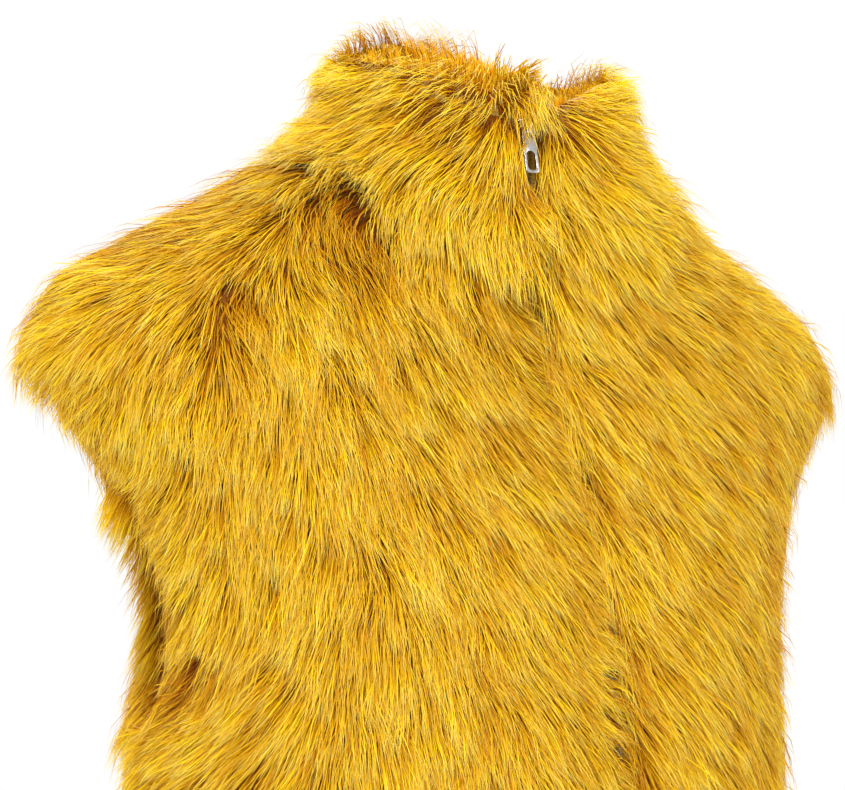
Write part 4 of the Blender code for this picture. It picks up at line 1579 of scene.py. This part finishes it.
@dataclass
class FurPanel:
    """One panel of fur cloth: a thin shell on its solid's form, and the faces that carry its pile.

    Attributes:
        node: Name of the panel's solid.
        flat: Width and length of the cut, in metres; not used.
        area: Flat area of the cut, in square metres; not used.
        side: Which way its pile stands.
        inset: How far the shell's pile face lies under the reach of the pile, as a share of the wall.
    """

    node: str
    flat: tuple[float, float]
    area: float
    side: Side = Side.OUT
    inset: float = 0.52
    pieces: list[bpy.types.Object] = field(default_factory=list)
    axis_height: float = -0.25
    unroll_radius: float = 0.16
    rim: float = 0.016
    sectors: int = 40
    seam_reach: float = 0.0016
    facing_least: float = 0.12
    neck_back: float = 0.010
    neck_drop: float = 0.02
    wall_start: float = 0.0006
    wall_reach: float = 0.034
    wall_usual: float = 0.012
    wall_most: float = 0.030
    wall_smoothing: int = 3

    @property
    def is_collar(self) -> bool:
        """Whether the panel belongs to the collar."""
        return self.node.startswith("collar")

    @property
    def slot(self) -> str:
        """Name of a slot for the panel's cloth and pile; no piece is given it."""
        return "inner_fur" if self.side is Side.IN else "fur"

    def open_copy(self, frame: dict) -> bmesh.types.BMesh:
        """Copy the panel's solid as triangles, with its doubled corners merged."""
        copy = welded_copy(frame["nodes"][self.node].data)
        bmesh.ops.triangulate(copy, faces=copy.faces[:])
        copy.normal_update()
        return copy

    def pile_faces(self, copy: bmesh.types.BMesh, solids: BVHTree) -> list[bmesh.types.BMFace]:
        """Pick the faces that carry the pile.

        They look away from the wearer, or at the neck on the inside of the collar.

        Args:
            copy: The panel's mesh.
            solids: All the panels, to tell the faces that meet another panel at a seam.

        Returns:
            The faces.
        """
        chosen = []
        top = self.top_profile(copy) if self.is_collar else {}
        for face in copy.faces:
            centre = face.calc_center_median()
            if solids.ray_cast(centre + face.normal * WELD, face.normal, self.seam_reach)[0] is not None:
                continue
            axis = Vector((0.0, 0.0, min(centre.z, self.axis_height)))
            if self.is_collar:
                axis = Vector((0.0, -self.neck_back, centre.z - self.neck_drop))
            facing = face.normal.dot((centre - axis).normalized()) * self.side.value
            in_rim = self.is_collar and centre.z > top[self.sector(centre)] - self.rim
            if facing > self.facing_least or in_rim:
                chosen.append(face)
        return chosen

    def sector(self, place: Vector) -> int:
        """Number of the sector round the neck that holds a place."""
        turn = math.atan2(place.x, -place.y - self.neck_back) % (2 * math.pi)
        return int(turn / (2 * math.pi) * self.sectors) % self.sectors

    def top_profile(self, copy: bmesh.types.BMesh) -> dict[int, float]:
        """Height of the collar's top edge in each sector round the neck."""
        top: dict[int, float] = {}
        for vert in copy.verts:
            here = self.sector(vert.co)
            top[here] = max(top.get(here, -1.0), vert.co.z)
        return top

    def thin(self, copy: bmesh.types.BMesh, chosen: list[bmesh.types.BMFace]) -> None:
        """Sink the pile faces into the wall, so that a thin shell is left.

        Args:
            copy: The panel's mesh.
            chosen: Its pile faces.
        """
        tree = BVHTree.FromBMesh(copy)
        ways: dict[bmesh.types.BMVert, Vector] = {}
        for face in chosen:
            face.material_index = 1
            for vert in face.verts:
                ways[vert] = ways.get(vert, Vector()) + face.normal * face.calc_area()
        depth = {}
        for vert, way in ways.items():
            way.normalize()
            hit = tree.ray_cast(vert.co - way * self.wall_start, -way, self.wall_reach)[3]
            depth[vert] = min(hit if hit else self.wall_usual, self.wall_most)
        for _ in range(self.wall_smoothing):
            level = {}
            for vert in depth:
                others = [edge.other_vert(vert) for edge in vert.link_edges]
                around = [depth[other] for other in others if other in depth]
                level[vert] = (depth[vert] + sum(around) / max(len(around), 1)) / 2
            depth = level
        for vert, way in ways.items():
            vert.co -= way * depth[vert] * self.inset

    def unroll(self, copy: bmesh.types.BMesh) -> None:
        """Lay the panel's map, unrolled about the upright axis in metres."""
        chart = copy.loops.layers.uv.new(CLOTH_MAP)
        for face in copy.faces:
            face.smooth = True
            middle = face.calc_center_median()
            turn = math.atan2(middle.x, -middle.y)
            for loop in face.loops:
                here = math.atan2(loop.vert.co.x, -loop.vert.co.y)
                here += 2 * math.pi * round((turn - here) / (2 * math.pi))
                loop[chart].uv = (here * self.unroll_radius, loop.vert.co.z)

    def shell(self, frame: dict, solids: BVHTree, outer: bpy.types.Material,
              inner: bpy.types.Material) -> bpy.types.Object:
        """Build the thin cloth shell and put it in the place of the solid.

        Args:
            frame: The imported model.
            solids: All the panels.
            outer: Finish of the face that carries the pile.
            inner: Finish of the other face.

        Returns:
            The shell.
        """
        copy = self.open_copy(frame)
        self.thin(copy, self.pile_faces(copy, solids))
        self.unroll(copy)
        mesh = bpy.data.meshes.new(self.node + "_cloth")
        copy.to_mesh(mesh)
        half = sum(face.calc_area() for face in copy.faces) / 2
        thickness = copy.calc_volume() / half * 1000
        LOG.info("%s cloth: half surface %.3f m2, thickness %.1f mm", self.node, half, thickness)
        copy.free()
        mesh.materials.append(inner)
        mesh.materials.append(outer)
        cloth = link(self.node + "_cloth", mesh)
        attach(cloth, BODY)
        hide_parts(self.node)
        return cloth

    def declare(self, cloth: bpy.types.Object) -> None:
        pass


@dataclass
class FurVest:
    """The five panels of fur cloth and their pile."""

    comb: Comb
    tab_line: tuple[Vector, Vector]
    outside: tuple[FurPanel, ...] = (
        FurPanel("front_right", (0.31, 0.67), 0.165),
        FurPanel("front_left", (0.31, 0.67), 0.158),
        FurPanel("back", (0.56, 0.69), 0.318),
        FurPanel("collar_outer", (0.51, 0.125), 0.050),
    )
    inside: tuple[FurPanel, ...] = (FurPanel("collar_inner", (0.47, 0.115), 0.038, Side.IN, 0.4),)
    coat_pile: Pile = Pile(
        count=170000, length=0.042, root_depth=0.0125, tip_height=(-0.0035, 0.0035), width=(0.00052, 0.00084),
        lock_pitch=0.0062, gather=0.62, wave=0.0011, seed=11, near_share=2.9,
    )
    short_pile: Pile = Pile(
        count=12000, length=0.024, root_depth=0.0062, tip_height=(0.0, 0.0050), width=(0.00070, 0.00085),
        lock_pitch=0.0065, gather=0.6, wave=0.0010, seed=23, near_share=1.0,
    )
    # Ramps of the outer pile: dark roots partly painted shade deep in the pile, pale tips partly painted
    # light through them
    outer_finish: StrandFinish = StrandFinish(
        "fur_pile",
        deep=((0.0, (0.09, 0.007, 0.0)), (0.32, (0.32, 0.066, 0.0)), (0.72, (0.70, 0.29, 0.0)),
              (1.0, (0.92, 0.54, 0.010))),
        light=((0.0, (0.28, 0.065, 0.0)), (0.30, (0.84, 0.42, 0.0)), (0.68, (1.0, 0.73, 0.006)),
               (1.0, (1.0, 0.97, 0.28))),
    )
    # Pile inside the collar: the same fur as outside, its ramps made deeper and more orange as painted shade
    # inside the collar
    inner_shaded_finish: StrandFinish = StrandFinish(
        "collar_pile_painted_shade",
        deep=((0.0, (0.14, 0.016, 0.0)), (0.32, (0.46, 0.120, 0.0)), (0.72, (0.78, 0.32, 0.0)),
              (1.0, (0.92, 0.44, 0.004))),
        light=((0.0, (0.30, 0.070, 0.0)), (0.30, (0.82, 0.34, 0.0)), (0.68, (0.98, 0.53, 0.002)),
               (1.0, (1.0, 0.74, 0.05))),
    )
    most_strands: int = 38000

    def build(self, frame: dict) -> None:
        """Build the shells and lay the pile.

        Args:
            frame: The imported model.
        """
        backing, wool = BackingFinish().material(), UndercoatFinish().material()
        outer_pile, inner_shaded_pile = self.outer_finish.material(), self.inner_shaded_finish.material()
        solids = self.solid_tree(frame)
        for panels, pile, side, finish in (
            (self.outside, self.coat_pile, Side.OUT, outer_pile),
            (self.inside, self.short_pile, Side.IN, inner_shaded_pile),
        ):
            self.dress(frame, solids, panels, pile, side, finish)
            for panel in panels:
                panel.declare(panel.shell(frame, solids, wool, backing))

    def solid_tree(self, frame: dict) -> BVHTree:
        """Gather the faces of every panel's solid in one search tree."""
        corners, faces = [], []
        for panel in (*self.outside, *self.inside):
            mesh = frame["nodes"][panel.node].data
            start = len(corners)
            corners.extend(vert.co[:] for vert in mesh.vertices)
            faces.extend([start + corner for corner in face.vertices] for face in mesh.polygons)
        return BVHTree.FromPolygons(corners, faces)

    def dress(self, frame: dict, solids: BVHTree, panels: tuple[FurPanel, ...], pile: Pile, side: Side,
              finish: bpy.types.Material) -> None:
        """Lay one coat of strands over some panels.

        Args:
            frame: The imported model.
            solids: All the panels.
            panels: The panels.
            pile: Sizes of the strands.
            side: Which way the pile stands.
            finish: Finish of the strands.
        """
        copies = [panel.open_copy(frame) for panel in panels]
        chosen = [panel.pile_faces(copy, solids) for copy, panel in zip(copies, panels)]
        surface = CoatSurface.from_faces(chosen)
        for copy in copies:
            copy.free()
        collar = tuple(number for number, panel in enumerate(panels) if panel.is_collar)
        coat = Coat(surface, self.comb, pile, side, collar, pile.seed, self.tab_line)
        line, blade, tone, owner = coat.build()
        LOG.info("pile over %.3f m2: %d strands", surface.areas.sum(), len(line))
        for number, panel in enumerate(panels):
            mine = np.flatnonzero(owner == number)
            mine = mine[np.argsort(line[mine, 0, 2])]
            parts = max(1, math.ceil(len(mine) / self.most_strands))
            for part, chosen in enumerate(np.array_split(mine, parts)):
                name = f"{panel.node}_pile_{part + 1}"
                mesh = strand_mesh(name, line[chosen], blade[chosen], tone[chosen])
                mesh.materials.append(finish)
                piece = link(name, mesh)
                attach(piece, BODY)
                panel.pieces.append(piece)
                LOG.info("%s: %d strands", name, len(chosen))


@dataclass
class Zipper:
    """Zip of the vest: tapes, moulded teeth, slider and pull tab.

    Attributes:
        pitch: Distance between the teeth of one side.
        tooth: Width across the chain, height off the tape and length along the chain of one tooth.
        tooth_block: Width of the tooth's block, as a share of the tooth's.
        tooth_hook: How much longer along the chain the hook is than the block.
        tooth_edge: Bevel of its edges.
        tooth_aside: How far its middle lies off the chain's, as a share of its width.
        ring_gap: Step of height that parts one ring of the chain's corners from the next.
    """

    pitch: float = 0.0024
    tooth: tuple[float, float, float] = (0.0040, 0.0030, 0.0011)
    tooth_block: float = 0.62
    tooth_hook: float = 1.25
    tooth_edge: float = 0.00022
    tooth_aside: float = 0.20
    ring_gap: float = 0.0035
    flat_deg: float = 1.0
    bevel_deg: float = 38.0
    sharp_deg: float = 45.0
    tooth_sharp_deg: float = 35.0
    metal: bpy.types.Material | None = None

    def tab_line(self) -> tuple[Vector, Vector]:
        """Middle line of the pull tab, from its hinge to its free end."""
        low, high = (Vector(corner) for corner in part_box("zip_pull"))
        middle = (low + high) / 2
        return Vector((middle.x, high.y, high.z)), Vector((middle.x, low.y, low.z))

    def build(self, frame: dict) -> None:
        """Build every piece of the zip.

        Args:
            frame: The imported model.
        """
        self.metal = ZipMetalFinish().material()
        weave = TapeFinish().material()
        for name in ("zip_tape_right", "zip_tape_left"):
            tape = frame["nodes"][name].data.materials
            tape.clear()
            tape.append(weave)
        self.teeth(frame)
        self.hard_piece(frame, "zip_slider", "slider", BODY, 0.00035)
        self.hard_piece(frame, "zip_box", "retainer_box", BODY, 0.00030)
        self.hard_piece(frame, "zip_pull", "pull_tab", TAB_BODY, 0.00028)

    def hard_piece(self, frame: dict, node: str, name: str, body: str, radius: float) -> None:
        """Make a hard piece from its solid, with softened edges.

        Args:
            frame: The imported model.
            node: The solid's name.
            name: Name of the piece.
            body: Body that it rides on.
            radius: Radius of its edges.
        """
        copy = welded_copy(frame["nodes"][node].data)
        flat, sharp_from = math.radians(self.flat_deg), math.radians(self.bevel_deg)
        bmesh.ops.dissolve_limit(copy, angle_limit=flat, verts=copy.verts[:], edges=copy.edges[:])
        whole = [edge for edge in copy.edges if len(edge.link_faces) == 2]
        sharp = [edge for edge in whole if edge.calc_face_angle() > sharp_from]
        bmesh.ops.bevel(copy, geom=sharp, offset=radius, segments=2, profile=0.5, affect="EDGES", material=-1)
        for face in copy.faces:
            face.smooth = True
        mesh = bpy.data.meshes.new(name)
        copy.to_mesh(mesh)
        copy.free()
        mesh.set_sharp_from_angle(angle=math.radians(self.sharp_deg))
        mesh.materials.append(self.metal)
        piece = link(name, mesh)
        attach(piece, body)
        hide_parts(node)
        LOG.info("%s: %d faces", name, len(mesh.polygons))

    def chain_line(self, frame: dict) -> np.ndarray:
        """Find the middle line of the chain from its solid.

        Args:
            frame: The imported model.

        Returns:
            Points a tooth's pitch apart, from low to high.
        """
        copy = welded_copy(frame["nodes"]["zip_chain"].data)
        corners = np.array([vert.co[:] for vert in copy.verts])
        copy.free()
        corners = corners[np.argsort(corners[:, 2])]
        breaks = np.flatnonzero(np.diff(corners[:, 2]) > self.ring_gap) + 1
        rings = np.array([group.mean(axis=0) for group in np.split(corners, breaks)])
        gaps = np.linalg.norm(np.diff(rings, axis=0), axis=1)
        run = np.concatenate(([0.0], np.cumsum(gaps)))
        stops = np.arange(self.pitch, run[-1] - self.pitch, self.pitch / 2)
        return np.stack([np.interp(stops, run, rings[:, axis]) for axis in range(3)], axis=1)

    def tooth_mesh(self) -> bmesh.types.BMesh:
        """Model one tooth: a block with a rounded head, its hook towards +X."""
        wide, high, long = self.tooth
        block = bmesh.new()
        bmesh.ops.create_cube(block, size=1.0)
        bmesh.ops.scale(block, vec=(wide * self.tooth_block, high, long), verts=block.verts[:])
        for vert in block.verts:
            if vert.co.x > 0.0:
                vert.co.z *= self.tooth_hook
        bmesh.ops.bevel(block, geom=block.edges[:], offset=self.tooth_edge, segments=1, profile=0.5,
                        affect="EDGES", material=-1)
        return block

    def teeth(self, frame: dict) -> None:
        """Lay the teeth of both sides along the chain, as one joined mesh in the solid's place."""
        line = self.chain_line(frame)
        along = unit(np.gradient(line, axis=0))
        block = self.tooth_mesh()
        shape = np.array([vert.co[:] for vert in block.verts])
        faces = [[vert.index for vert in face.verts] for face in block.faces]
        block.free()
        verts, polygons = [], []
        for number, (point, up) in enumerate(zip(line, along)):
            side = 1.0 if number % 2 else -1.0
            across = unit(np.cross(up, (0.0, 1.0, 0.0))) * side
            out = unit(np.cross(across, up)) * side
            basis = np.stack((across * -1.0, out, up), axis=0)
            flip = np.linalg.det(basis) < 0
            place = shape @ basis + point + across * self.tooth[0] * self.tooth_aside
            start = len(verts)
            verts.extend(place.tolist())
            for face in faces:
                polygons.append([start + corner for corner in (face[::-1] if flip else face)])
        mesh = bpy.data.meshes.new("zip_teeth")
        mesh.from_pydata(verts, [], polygons)
        mesh.validate()
        mesh.shade_smooth()
        mesh.set_sharp_from_angle(angle=math.radians(self.tooth_sharp_deg))
        mesh.materials.append(self.metal)
        piece = link("zip_teeth", mesh)
        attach(piece, BODY)
        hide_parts("zip_chain")
        LOG.info("zip_teeth: %d teeth", len(line))


def main() -> None:
    """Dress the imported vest, and set the studio and the camera."""
    logging.basicConfig(level=logging.INFO, format="%(name)s %(message)s")
    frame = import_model()
    view = PhotoView()
    view.add_camera()
    Studio().build()
    zipper = Zipper()
    tab_line = zipper.tab_line()
    zipper.build(frame)
    chain = tuple((float(place[2]), float(place[0])) for place in zipper.chain_line(frame))
    FurVest(Comb(view, zip_line=chain), tab_line).build(frame)


if __name__ == "__main__":
    main()
